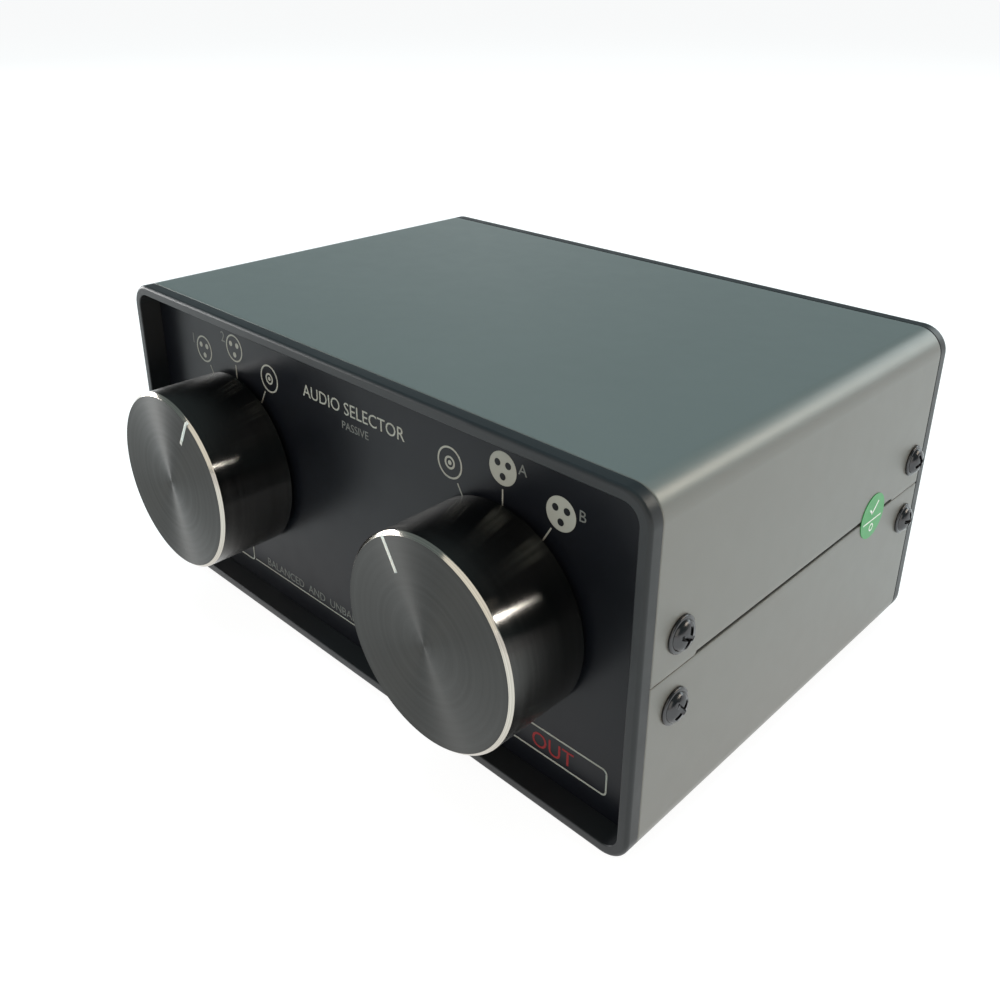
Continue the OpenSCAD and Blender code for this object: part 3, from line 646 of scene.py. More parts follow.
@dataclass(frozen=True)
class Striped(Finish):
    """Flat cable of moulded wires side by side, with painted shade between them."""

    pitch: float = 1.27
    # share of the colour left in the grooves between the wires: painted shade
    groove: float = 0.45
    depth: float = 0.25
    rough: Pair = (0.45, 0.6)
    wear: float = 2.0

    def make(self, tree: Tree) -> bpy.types.Material:
        """Wires the ribs across the cable: each is half a sine wave, and the colour darkens towards
        the grooves as painted shade.

        Args:
            tree: its empty node tree.

        Returns:
            The material.
        """
        place = tree.place()
        across = tree.node("SeparateXYZ", {0: place}).outputs[0]
        wave = tree.math("SINE", tree.math("MULTIPLY", across, math.pi / (self.pitch * MM)))
        ribs = tree.math("ABSOLUTE", wave)
        # lit goes from the grooves to the tops of the ribs; the colour darkens in the grooves as
        # painted shade between the wires
        lit = tree.between(ribs, 0, 1, 0.0, 0.6)
        return tree.wire(
            Base_Color=tree.mix(lit, scaled(self.colour, self.groove), self.colour),
            Roughness=tree.between(tree.noise(self.wear, 2.0, place), *self.rough),
            Normal=tree.bump(ribs, self.depth))


@dataclass(frozen=True)
class Masked(Finish):
    """Circuit board: solder mask over a grid of tracks."""

    track: Colour = (0.03, 0.2, 0.08)
    width: float = 0.4
    cell: Pair = (11.0, 2.5)
    depth: float = 0.03
    rough: Pair = (0.25, 0.4)
    wear: float = 3.0

    def make(self, tree: Tree) -> bpy.types.Material:
        """Wires the tracks under the mask.

        Args:
            tree: its empty node tree.

        Returns:
            The material.
        """
        place = tree.place()
        upright = tree.node("Mapping", {"Vector": place, "Rotation": (math.pi / 2, 0, 0)})
        tracks = tree.node("TexBrick", {
            "Vector": upright.outputs[0], "Scale": 1.0, "Mortar Size": self.width * MM,
            "Brick Width": self.cell[0] * MM, "Row Height": self.cell[1] * MM}).outputs[1]
        return tree.wire(
            Base_Color=tree.mix(tracks, self.colour, self.track),
            Roughness=tree.between(tree.noise(self.wear, 2.0, place), *self.rough),
            Normal=tree.bump(tracks, self.depth))


BEZEL = Grained("bezel_satin_black", (0.0145, 0.0155, 0.017), 0.08, (0.34, 0.42), 0.22, 0.005,
                gloss=0.35)
SHELL = Grained("shell_satin_grey", (0.19, 0.187, 0.177), 0.012, (0.34, 0.37), 0.3, 0.004,
                metal=0.41, gloss=0.3)
PANEL = Grained("panel_satin_black", (0.0062, 0.0068, 0.0095), 0.1, (0.28, 0.34), 0.25, 0.0006,
                gloss=0.2)
SCREW = Plated("screw_black_nickel", (0.085, 0.083, 0.085), 0.12, (0.14, 0.26), 0.5, 0.004)
RUBBER = Grained("foot_rubber", (0.013, 0.013, 0.014), 0.15, (0.7, 0.85), 0.3, 0.03, gloss=0.25)
FILM = Grained("sticker_green_film", (0.025, 0.27, 0.06), 0.06, (0.3, 0.4), 1.2, 0.004)
PALE_INK = Ink("print_pale", (0.36, 0.35, 0.31))
DIM_INK = Ink("print_grey", (0.16, 0.16, 0.15))
RED_INK = Ink("print_red", (0.26, 0.024, 0.026))
DARK_INK = Ink("print_dark", (0.008, 0.008, 0.01))
WHITE_INK = Ink("print_white", (0.75, 0.76, 0.74), 0.04, (0.45, 0.55), gloss=0.3)
KNOB_FACE = Spun("knob_spun_face", (0.074, 0.073, 0.07), 0.5, 0.84, 0.16, 0.0003, 0.03)
KNOB_SIDE = Spun("knob_satin_side", (0.09, 0.088, 0.084), 0.21, 1.0, 0.5, 0.0001, 0.05)
KNOB_RIM = Spun("knob_bright_rim", (0.54, 0.5, 0.44), 0.14, 0.4, 0.2, 0.0003, 0.1)
KNOB_MARK = Grained("knob_pointer", (0.8, 0.8, 0.78), 0.04, (0.4, 0.5), 0.3, 0.004)
GOLD = Spun("phono_gold", (0.72, 0.5, 0.2), 0.22, 0.4, 0.3, 0.001, 0.1)
WHITE_PLASTIC = Grained("insulator_white", (0.68, 0.67, 0.63), 0.05, (0.3, 0.4), 0.6, 0.004)
RED_PLASTIC = Grained("insulator_red", (0.42, 0.02, 0.022), 0.08, (0.3, 0.4), 0.6, 0.004)

SLOT_FINISHES: dict[str, Finish] = {
    "bezel_plastic": BEZEL, "panel_print": PANEL, "shell_paint": SHELL, "black_nickel": SCREW,
    "foot_rubber": RUBBER, "sticker_film": FILM, "phono_gold": GOLD,
    "phono_insulator": WHITE_PLASTIC, "knob_anodised": replace(BEZEL, name="knob_plain"),
    "grub_steel": Plated("grub_blackened_steel", (0.07, 0.07, 0.074), 0.1, (0.35, 0.5), 0.3),
    "spindle_steel": Plated("plated_steel", (0.55, 0.55, 0.54), 0.06, (0.25, 0.4), 0.3, 0.004),
    "bush_brass": Plated("turned_brass", (0.62, 0.44, 0.18), 0.06, (0.25, 0.4), 0.3, 0.004),
    "switch_zinc": Plated("zinc_plate", (0.42, 0.43, 0.44), 0.1, (0.35, 0.5), 0.6),
    "rotor_nylon": Grained("natural_nylon", (0.6, 0.57, 0.48), 0.05, (0.4, 0.55), 0.5),
    "contact_plate_resin": Grained("resin_paper", (0.2, 0.11, 0.04), 0.15, (0.4, 0.55), 0.4, 0.008),
    "terminal_tin": Plated("tinned_wire", (0.62, 0.6, 0.55), 0.08, (0.28, 0.42), 0.4, 0.004),
    "board_green": Masked("solder_mask", (0.012, 0.1, 0.042)),
    "header_black": Grained("header_moulding", (0.02, 0.02, 0.022), 0.1, (0.4, 0.55), 0.3, 0.008,
                            edge=0.3),
    "ribbon_grey": Striped("ribbon_grey", (0.3, 0.31, 0.33)),
    "socket_black": Grained("socket_moulding", (0.016, 0.016, 0.018), 0.12, (0.38, 0.52), 0.3,
                            0.008, edge=0.25),
    "latch_steel": Plated("latch_plate", (0.5, 0.5, 0.5), 0.06, (0.25, 0.38), 0.3, 0.004, edge=0.2),
    "contact_gold": Plated("contact_gold", (0.72, 0.5, 0.2), 0.06, (0.2, 0.34), 0.4, 0.004),
    "phono_block_white": Grained("block_white", (0.66, 0.66, 0.63), 0.05, (0.3, 0.42), 0.5,
                                 edge=0.2),
    "phono_block_black": Grained("block_black", (0.024, 0.024, 0.026), 0.1, (0.3, 0.42), 0.5,
                                 edge=0.2),
}


def put(name: str, surface: Surface, finishes: list[Finish], body: str, slot: str, *replaced: str,
        crease: float = 38.0) -> bpy.types.Object:
    """Makes a piece: welds its doubles, turns its faces outwards, shades it smooth between creases
    and rides it on its body.

    Args:
        name: name of the piece.
        surface: its points and faces in the case's frame.
        finishes: one finish for each paint number.
        body: body that it moves with.
        slot: the record's material slot; not used.
        replaced: CAD nodes that it stands for.
        crease: angle in degrees over which an edge stays sharp.

    Returns:
        The piece.
    """
    mesh = bpy.data.meshes.new(name)
    faces = [face for block in surface.faces for face in block.tolist()]
    mesh.from_pydata((surface.points * MM + ORIGIN).tolist(), [], faces)
    mesh.polygons.foreach_set("material_index", surface.paint.astype(np.int32))
    corners = np.concatenate([block.ravel() for block in surface.faces])
    mesh.uv_layers.new(name="UVMap").data.foreach_set("uv", surface.uv[corners].ravel())
    work = bmesh.new()
    work.from_mesh(mesh)
    bmesh.ops.remove_doubles(work, verts=work.verts, dist=WELD)
    bmesh.ops.recalc_face_normals(work, faces=work.faces)
    work.to_mesh(mesh)
    work.free()
    mesh.shade_smooth()
    mesh.set_sharp_from_angle(angle=math.radians(crease))
    for finish in finishes:
        mesh.materials.append(finish.material())
    piece = bpy.data.objects.new(name, mesh)
    bpy.context.scene.collection.objects.link(piece)
    weighted = piece.modifiers.new("even_shading", "WEIGHTED_NORMAL")
    weighted.keep_sharp = True
    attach(piece, body)
    if replaced:
        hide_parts(*replaced)
    LOG.info("piece %s: %d faces, rides on %s", name, len(mesh.polygons), body)
    return piece


@dataclass
class CaseShell:
    """Two bezels and the two bent sheets between them."""

    width: float = 149.0
    height: float = 70.0
    depth: float = 103.0
    corner: float = 5.5
    rim: float = 3.0
    border: float = 2.2
    sleeve_in: float = 1.1
    seat_in: float = 1.7
    front: Pair = (5.0, 15.3)
    rear: Pair = (2.0, 13.0)
    edge_radii: Row = (0.8, 0.2, 0.1, 0.2, 0.2, 0.05, 0.1, 0.25)
    panel: float = 2.05
    sunk: float = 0.5
    lug: Triple = (3.8, 7.2, 14.0)
    lug_r: float = 0.3
    rib: Triple = (20.0, 0.8, 1.2)
    rib_r: float = 0.2
    sheet: float = 1.0
    sheet_r: float = 0.28
    fit: float = 0.1
    seam: float = 35.4
    seam_gap: float = 0.1
    relief: float = 0.6
    land: float = 12.0
    slope: float = 0.5
    slope_rows: Row = (-0.4, 0.0, 0.5, 1.0)
    strip: float = 1.2
    seam_nip: Row = (0.0, 0.45, 0.8, 1.0, 1.0, 1.0)
    seam_rows: Row = (0.0, 0.0, 0.1, 0.35, 1.4, 3.0)
    bends: int = 17

    def build(self) -> None:
        """Makes the bezels and the shells."""
        self.bezel("front_bezel_moulding", "front_bezel", Facing.FRONT, 0.0, *self.front)
        self.bezel("rear_bezel_moulding", "rear_bezel", Facing.REAR, self.depth, *self.rear)
        gap, over = self.seam_gap / 2, self.height - self.seam
        self.shell("upper_shell_sheet", "upper_shell", self.seam + gap, self.relief, False)
        self.shell("lower_shell_sheet", "lower_shell", over + gap, 0.0, True)

    def bezel(self, name: str, node: str, facing: Facing, edge: float, recess: float,
              end: float) -> None:
        """Makes a moulded frame: a stepped profile with rounded edges carried round the case's
        outline, with its screw lugs and snap ribs.

        Args:
            name: name of the piece.
            node: CAD node that it stands for.
            facing: the way that it faces.
            edge: y of its outer edge.
            recess: depth of the recess in front of the panel.
            end: depth of its sleeve's end.
        """
        corners = np.array([[0, 0], [0, -self.rim], [self.sleeve_in, -self.rim],
                            [self.sleeve_in, -end], [self.seat_in, -end], [self.seat_in, -recess],
                            [self.border, -recess], [self.border, 0]])
        profile = rounded_profile(corners, self.edge_radii, 5)
        parts = [framed(self.width, self.height, self.corner, profile, 14)]
        reach, tall, pitch = self.lug
        wall, behind = self.width / 2 - self.seat_in, -recess - self.panel
        lifts = self.seam - self.height / 2 + np.array([-0.5, 0.5]) * pitch
        parts += [rounded_box((s * (wall - reach), lift - tall / 2, -end),
                              (s * (wall + self.sunk), lift + tall / 2, behind), self.lug_r)
                  for s in (-1, 1) for lift in lifts]
        length, rise, thick = self.rib
        roof = self.height / 2 - self.seat_in
        parts += [rounded_box((-length / 2, s * (roof - rise), behind - thick),
                              (length / 2, s * (roof + self.sunk), behind), self.rib_r)
                  for s in (-1, 1)]
        put(name, joined(*parts).placed(facing, (0, edge, self.height / 2)), [BEZEL], CASE_BODY,
            "bezel_plastic", node)

    def shell(self, name: str, node: str, start: float, relief: float, under: bool) -> None:
        """Makes a bent sheet: a closed loop of (inset, y) round the sheet's section is carried
        from one seam edge over the corners to the other; near the middle the seam edge stands
        back by the relief.

        Args:
            name: name of the piece.
            node: CAD node that it stands for.
            start: height of the seam edge.
            relief: how far the middle of the seam edge stands back.
            under: whether the sheet is turned over, for the lower shell.
        """
        y0, y1 = self.rim + self.fit, self.depth - self.rim - self.fit
        turn = np.radians(np.linspace(90, 0, 5))
        lead = y0 + self.sheet_r * (1 - np.sin(turn))
        bend = y0 + self.land + np.array(self.slope_rows)
        near = np.concatenate([lead, [y0 + self.strip], bend])
        stations = np.concatenate([near, [(y0 + y1) / 2], (y0 + y1 - near)[::-1]])
        skin = np.zeros(len(stations))
        skin[:len(turn)] = self.sheet_r * (1 - np.cos(turn))
        skin = skin + skin[::-1]
        y = np.concatenate([stations, stations[::-1]])
        inset = np.concatenate([skin, self.sheet - skin[::-1]])
        from_end = np.minimum(y - y0, y1 - y)
        inside = np.clip((from_end - self.land) / self.slope, 0, 1)
        seam = start + relief * inside * inside * (3 - 2 * inside)
        nip, lift = np.array([self.seam_nip, self.seam_rows])[..., None]
        edge_inset = self.sheet / 2 + (inset - self.sheet / 2)[None] * nip
        level = np.broadcast_to(start + lift[-1:], (1, len(y)))
        edge_z = np.concatenate([seam[None] + lift[:-1], level])
        half, tall, radius = self.width / 2, self.height, self.corner
        side = np.stack([-half + edge_inset, np.broadcast_to(y, edge_z.shape), edge_z], axis=-1)
        angle = np.radians(np.linspace(180, 90, self.bends))[:, None]
        bow = np.stack(np.broadcast_arrays(radius - half + (radius - inset) * np.cos(angle), y,
                                           tall - radius + (radius - inset) * np.sin(angle)),
                       axis=-1)
        left = np.concatenate([side, bow])
        points = np.concatenate([left, left[::-1] * np.array([-1, 1, 1])])
        if under:
            points = points * np.array([1, 1, -1]) + np.array([0, 0, tall])
        sheet = Surface.of(points, quads(len(points), len(y), False, True))
        put(name, sheet, [SHELL], CASE_BODY, "shell_paint", node)


@dataclass(frozen=True)
class ScrewHead:
    """Pan-head screw with a cross recess. Shares are parts of the flange's radius for the dome's
    foot and the recess's arms."""

    flange: float = 3.4
    flange_t: float = 0.6
    dome_h: float = 1.3
    dome_powers: Pair = (2.6, 0.62)
    foot_share: float = 0.82
    arm_share: float = 0.55
    arm_w: float = 0.9
    recess: float = 0.9
    recess_fall: float = 0.35
    wall: Pair = (0.2, 0.1)
    beyond: Pair = (1.03, 1.06)
    thread: float = 1.3
    thread_l: float = 5.4
    chamfer: float = 0.06

    def sizes(self) -> Triple:
        """Half the arms' width, their length, and the radius of the dome's foot."""
        return self.arm_w / 2, self.flange * self.arm_share, self.flange * self.foot_share

    def lines(self) -> Array:
        """Lines of the dome's square grid, close together at the walls of the recess.

        Returns:
            Their distances from the middle, in order.
        """
        half, arm, foot = self.sizes()
        past = self.beyond[1] * arm
        side = np.concatenate([np.array([0.25, 0.8, 1.0, 1.6, 2.6]) * half,
                               np.array([0.9, 1.0]) * arm, [past, (foot + past) / 2],
                               np.array([0.92, 0.975, 1.0]) * foot])
        return np.concatenate([-side[::-1], [0.0], side])

    def surface(self) -> Surface:
        """Makes the screw. The dome is a square grid drawn in to a disc, its height a power curve
        of the radius less the recess, whose depth falls off from the middle; flange, underside
        and thread are rings carried round the disc's edge.

        Returns:
            The screw, drawn as (right, up, out) with its seat at 0.
        """
        half, arm, foot = self.sizes()
        line = self.lines()
        a, b = np.meshgrid(line, line, indexing="ij")
        size, pull = drawn_in(a, b, lambda size: np.clip((size - half) / (arm - half), 0, 1))
        right, up = a * pull, b * pull
        inner, outer = self.dome_powers
        dome = self.dome_h * (1 - np.minimum(np.hypot(right, up) / foot, 1) ** inner) ** outer
        across, along = self.wall
        within = np.clip((half - np.minimum(abs(a), abs(b))) / (across * half), 0, 1)
        within = within * np.clip((arm * self.beyond[0] - size) / (along * arm), 0, 1)
        floor = self.dome_h - self.recess * (1 - self.recess_fall * size / arm)
        out = self.flange_t + dome - within * np.maximum(dome - floor, 0)
        n = len(line)
        head = Surface.of(np.stack([right, up, out], axis=-1), quads(n, n))
        run = np.arange(1, n)
        edge = np.concatenate([[0], run, run * n + n - 1, n * n - 1 - run, (n - 1 - run[:-1]) * n])
        ring = head.points[edge, :2]
        ring = ring / np.linalg.norm(ring, axis=1, keepdims=True)
        r, t, c = self.flange, self.flange_t, self.chamfer
        rows = np.array([[foot, t], [0.93 * r, 0.96 * t], [0.985 * r, 0.8 * t], [r, 0.5 * t],
                         [r, c], [r - c, 0], [self.thread, 0], [self.thread, -self.thread_l],
                         [0, -self.thread_l]])
        levels = rows[:, 1:, None] + 0 * ring[None, :, :1]
        skirt = np.concatenate([ring[None] * rows[:, :1, None], levels], axis=-1)
        return joined(head, Surface.of(skirt, quads(len(rows), len(edge), False, True)))


@dataclass
class Fasteners:
    """Screws of the case, and the rubber feet."""

    width: float = 149.0
    depth: float = 103.0
    seam: float = 35.4
    pitch: float = 14.0
    rows: Pair = (10.1, 95.2)
    screw: ScrewHead = ScrewHead()
    turns: Row = (52, 24, 8, 71, 33, 60, 15, 80)
    foot: Pair = (5.0, 2.0)
    dish: float = 0.35
    dish_share: Pair = (0.45, 0.5)
    foot_round: Pair = (0.7, 0.2)
    foot_chamfer: float = 0.1
    inset: float = 17.0

    def build(self) -> None:
        """Makes the eight side screws and the four feet."""
        spots = [(facing, (s * self.width / 2, y, self.seam + up * self.pitch / 2))
                 for facing, s in ((Facing.RIGHT, 1), (Facing.LEFT, -1))
                 for y in self.rows for up in (-1, 1)]
        head = self.screw.surface()
        heads = [head.turned(turn).placed(*spot) for turn, spot in zip(self.turns, spots)]
        put("case_screw_heads", joined(*heads), [SCREW], CASE_BODY, "black_nickel", "case_screws",
            crease=50)
        (r, h), (flat, step), (far, close) = self.foot, self.dish_share, self.foot_round
        low, c = h - self.dish, self.foot_chamfer
        profile = [[0, low], [r * flat, low], [r * step, h], [r - far, h], [r - close, h - close],
                   [r, h - far], [r, c], [r - c, 0], [0, 0]]
        across, along = self.width / 2 - self.inset, (self.inset, self.depth - self.inset)
        foot = spun(profile, 40)
        feet = [foot.placed(Facing.DOWN, (s * across, y, 0)) for s in (-1, 1) for y in along]
        put("rubber_feet_moulded", joined(*feet), [RUBBER], CASE_BODY, "foot_rubber", "rubber_feet")


@dataclass
class Knob:
    """Turned knob with a spun face, a bright chamfer and a pointer slot."""

    name: str
    turn: float
    radius: float = 20.0
    front: float = 13.5
    rear: float = -4.0
    chamfer: float = 0.6
    rear_chamfer: float = 0.4
    ease: float = 0.03
    inner_rings: Row = (0.0, 1.5, 3.5, 6.0, 9.0)
    outer_rings: Row = (15.5, 17.0)
    side_rings: Pair = (11.1, -0.5)
    slot: Triple = (0.8, 7.2, 0.4)
    slot_columns: Row = (-0.5, -0.44, 0.0, 0.44, 0.5)
    counterbore: Pair = (7.93, 1.5)
    lead_in: float = 0.3
    bore: Pair = (3.05, 9.55)
    grub: Triple = (1.55, 5.5, 12.1)
    grub_rings: Row = (0.35, 0.7, 0.96, 1.0, 1.25, 1.6, 2.0)
    columns: int = 145
    clear: float = 0.06

    def rows(self, block: Array) -> list[Array]:
        """Profile of the knob from the middle of its face to the end of its bore.

        Args:
            block: distances from the middle of the grub screw's hole that need a row.

        Returns:
            Points (radius, out) of the face, the rim, the side and the back.
        """
        r, front, rear, ease = self.radius, self.front, self.rear, self.ease
        start, deep, edge = r - self.slot[1], self.slot[2], r - self.chamfer
        face = [(k, front) for k in (*self.inner_rings, start, start + 2 * ease,
                                     *self.outer_rings, edge - 0.05)]
        rim = [(edge, front - ease), (edge + deep, front - deep - ease),
               (r - 2 * ease, front - self.chamfer + ease), (r, front - self.chamfer - 2 * ease)]
        levels = (self.side_rings[0], *(self.grub[1] + block[::-1]), self.side_rings[1],
                  rear + self.rear_chamfer)
        wide, end = self.counterbore
        back = [(r - self.rear_chamfer, rear), (wide + self.lead_in, rear),
                (wide, rear + self.lead_in), (wide, end), (self.bore[0], end), self.bore,
                (0, self.bore[1])]
        return [np.array(part, float) for part in (face, rim, [(r, k) for k in levels], back)]

    def build(self) -> None:
        """Makes the knob: a polar grid of (radius, out) rows and angles from the pointer. Columns
        beside the pointer keep their distance from its line, where the slot sinks them; round the
        grub screw's hole a square of the side is drawn in to a circle and its middle sunk."""
        width, length, deep = self.slot
        start, r = self.radius - length, self.radius
        hole, hole_out, hole_deep = self.grub
        rings = np.array(self.grub_rings) * hole
        block, reach = np.concatenate([-rings[::-1], [0.0], rings]), rings[-1]
        face, rim, side, back = self.rows(block)
        rows = np.concatenate([face, rim, side, back])
        first, last = len(face) + len(rim), len(face) + len(rim) + len(side)
        offsets = np.array(self.slot_columns) * width
        around = np.linspace(self.clear, 2 * np.pi - self.clear, self.columns)
        around = around[abs(around - np.pi) > reach / r + 0.01]
        around = np.sort(np.concatenate([around, np.pi + block / r]))
        pointer = np.arcsin(offsets[None] / np.maximum(rows[:, :1], start))
        others = np.broadcast_to(around, (len(rows), len(around)))
        angle = np.concatenate([pointer, others, pointer[:, :1] + 2 * np.pi], axis=1)
        radius = np.broadcast_to(rows[:, :1], angle.shape)
        out = np.broadcast_to(rows[:, 1:], angle.shape)
        row = np.arange(len(rows))[:, None]
        sunk = np.concatenate([abs(offsets) < 0.45 * width, np.zeros(len(around) + 1, bool)])[None]
        in_slot = sunk & (rows[:, :1] > start + self.ease) & (row < first)
        out = np.where(in_slot, np.minimum(out, self.front - deep), out)
        a, b = (angle - np.pi) * r, out - hole_out
        size, pull = drawn_in(a, b, lambda size: np.clip((reach - size) / (reach - hole), 0, 1))
        near = (size < reach - 1e-6) & (row >= first) & (row < last)
        angle = np.where(near, np.pi + a * pull / r, angle)
        out = np.where(near, hole_out + b * pull, out)
        radius = np.where(near & (size < 0.98 * hole), r - hole_deep, radius)
        heading = angle + math.radians(self.turn)
        points = np.stack([radius * np.sin(heading), radius * np.cos(heading), out], axis=-1)
        cell = np.arange(len(rows) - 1)
        paint = np.where(cell < len(face) - 1, 0, np.where(cell < first - 1, 1, 2))
        paint = np.repeat(paint[:, None], angle.shape[1] - 1, axis=1)
        paint[(rows[:-1, 0] >= start - 0.01) & (cell <= len(face)), :len(offsets) - 1] = 3
        surface = Surface.of(points, quads(*angle.shape), paint.ravel(), turned_uv(rows, angle))
        axis = middle_mm(self.name)
        put(self.name + "_turned", surface.placed(Facing.FRONT, (axis[0], 0, axis[2])),
            [KNOB_FACE, KNOB_RIM, KNOB_SIDE, KNOB_MARK], self.name, "knob_anodised", self.name,
            crease=30)


@dataclass
class FrontPrint:
    """Screen print on the front panel: dial marks at each knob's positions, and a plain title box
    under each."""

    panel: float = 5.0
    film: float = 0.03
    over: float = 1.6
    spread: float = 40.8
    middle: float = 35.0
    circle: float = 25.9
    ticks: Pair = (17.5, 22.0)
    tick_w: float = 0.3
    step: float = 30.0
    icon: float = 3.15
    line: float = 0.36
    ring: Pair = (1.3, 0.4)
    core: float = 0.45
    dot: float = 0.62
    dark_dot: float = 0.68
    dot_circle: float = 1.5
    figure: Triple = (2.4, -4.3, 1.7)
    letter: Triple = (2.0, 4.5, 1.3)
    box: Triple = (24.8, 5.9, 1.1)
    box_at: Pair = (53.7, 9.45)
    box_text: Pair = (3.3, 9.35)
    rule: Triple = (40.9, 7.2, 0.28)
    title: tuple[str, float, float, float] = ("AUDIO SELECTOR", 2.7, 0.0, 58.6)
    notes: tuple[tuple[str, float, float, float], ...] = (
        ("PASSIVE", 1.7, 1.0, 54.9), ("BALANCED  AND  UNBALANCED  LINE", 2.0, -10.5, 9.0))

    def way(self, step: int) -> Array:
        """Direction of a dial mark from the knob's axis, at a whole number of steps."""
        angle = math.radians(step * self.step)
        return np.array([math.sin(angle), math.cos(angle)])

    def at(self, side: int, step: int, radius: float) -> Array:
        """Point (right, up) on a circle about a knob's axis, at a whole number of steps."""
        return np.array([side * self.spread, self.middle]) + self.way(step) * radius

    def text(self, text: str, height: float, right: float, up: float) -> Surface:
        """Letters of the print with their middle at a place."""
        return letters(text, height, 0, self.film).shifted(right, up)

    def dots(self, middle: Array, radius: float, low: float, high: float) -> list[Surface]:
        """Three dots of a socket's face, two above and one below, on a circle about the mark.

        Args:
            middle: middle of the mark.
            radius: radius of a dot.
            low: level of its back.
            high: level of its face.

        Returns:
            The dots.
        """
        angles = np.radians([-55, 55, 180])
        spots = middle + self.dot_circle * np.stack([np.sin(angles), np.cos(angles)], axis=-1)
        return [hoop(radius, radius, low, high, 16).shifted(*spot) for spot in spots]

    def build(self) -> None:
        """Makes the print, one thin plate a mark, in pale, grey, red and dark ink."""
        film = self.film
        pale, dim, red, dark = [], [], [], []
        for side in (-1, 1):
            for step in (-1, 0, 1):
                ends = [self.at(side, step, radius) for radius in self.ticks]
                pale.append(bar(*ends, self.tick_w, film))
                spot = self.at(side, step, self.circle)
                filled = side > 0 and step != -side
                line = self.icon if filled else self.line
                pale.append(hoop(self.icon, line, 0, film).shifted(*spot))
                if step == -side:
                    pale.append(hoop(*self.ring, 0, film).shifted(*spot))
                    pale.append(hoop(self.core, self.core, 0, film).shifted(*spot))
                elif filled:
                    dark += self.dots(spot, self.dark_dot, film, film * self.over)
                else:
                    pale += self.dots(spot, self.dot, 0, film)
        for text, side, step, (height, right, up) in (
                ("1", -1, -1, self.figure), ("2", -1, 0, self.figure),
                ("A", 1, 0, self.letter), ("B", 1, 1, self.letter)):
            spot = self.at(side, step, self.circle)
            dim.append(self.text(text, height, spot[0] + right, spot[1] + up))
        band = np.array([[0, 0], [0, film], [self.line, film], [self.line, 0]])
        for side, text in ((-1, "IN"), (1, "OUT")):
            x, z = side * self.box_at[0], self.box_at[1]
            pale.append(framed(*self.box, band, 5).shifted(x, z))
            red.append(self.text(text, self.box_text[0], x, self.box_text[1]))
        half, level, thick = self.rule
        pale.append(bar((-half, level), (half, level), thick, film))
        pale.append(self.text(*self.title))
        dim += [self.text(*note) for note in self.notes]
        groups = enumerate((pale, dim, red, dark))
        surface = joined(*[part.painted(index) for index, group in groups for part in group])
        put("front_print", surface.placed(Facing.FRONT, (0, self.panel, 0)),
            [PALE_INK, DIM_INK, RED_INK, DARK_INK], CASE_BODY, "panel_print", crease=30)


@dataclass
class StickerPrint:
    """White marks on the round sticker: a rule with a tick over it and a ring under it."""

    film: float = 0.02
    rule: Triple = (3.9, -0.9, 0.3)
    ring: Triple = (0.9, 0.3, -2.6)
    tick: tuple[tuple[Pair, Pair], ...] = (((-1.6, 1.9), (-0.4, 0.7)), ((-0.5, 0.7), (1.8, 3.0)))
    tick_w: float = 0.45

    def build(self) -> None:
        """Makes the marks as thin plates on the sticker's face."""
        half, level, thick = self.rule
        radius, line, under = self.ring
        parts = [bar((-half, level), (half, level), thick, self.film),
                 hoop(radius, line, 0, self.film, 24).shifted(0, under),
                 *(bar(*stroke, self.tick_w, self.film) for stroke in self.tick)]
        face, middle = box_mm("inspection_sticker")[1][0], middle_mm("inspection_sticker")
        put("sticker_print", joined(*parts).placed(Facing.RIGHT, (face, *middle[1:])), [WHITE_INK],
            CASE_BODY, "sticker_film", crease=30)


@dataclass
class RearSockets:
    """Phono barrels of the rear panel and their insulators, each at its CAD node's place."""

    barrel: Pair = (4.15, 3.6)
    neck: float = 0.2
    seat: float = 7.9
    barrel_radii: Row = (0.05, 0.05, 0.05, 0.15, 0.26, 0.2)
    insulator: Pair = (3.55, 2.0)
    sunk: float = 0.5
    insulator_radii: Row = (0.05, 0.05, 0.2, 0.3)

    def build(self) -> None:
        """Makes the phono barrels with rounded rims, and their insulators: white for the left
        channel and red for the right one."""
        (outer, bore), (wide, narrow) = self.barrel, self.insulator
        neck, insulators = outer - self.neck, []
        for node in (f"{row}_phono_{side}" for row in ("input", "output")
                     for side in ("left", "right")):
            (low, high), middle = box_mm(node), middle_mm(node)
            root, place = low[1] - high[1], (middle[0], high[1], middle[2])
            corners = np.array([[bore, root], [neck, root], [neck, -self.seat],
                                [outer, -self.seat], [outer, 0], [bore, 0]])
            loop = rounded_profile(corners, self.barrel_radii)
            put(node + "_barrel", spun(loop, 56, True).placed(Facing.REAR, place), [GOLD],
                CASE_BODY, "phono_gold", node)
            corners = np.array([[narrow, root], [wide, root], [wide, -self.sunk],
                                [narrow, -self.sunk]])
            loop = rounded_profile(corners, self.insulator_radii)
            ring = spun(loop, 40, True).placed(Facing.REAR, place)
            insulators.append(ring.painted(int(node.endswith("right"))))
        put("phono_insulator_rings", joined(*insulators), [WHITE_PLASTIC, RED_PLASTIC], CASE_BODY,
            "phono_insulator", "phono_insulators")


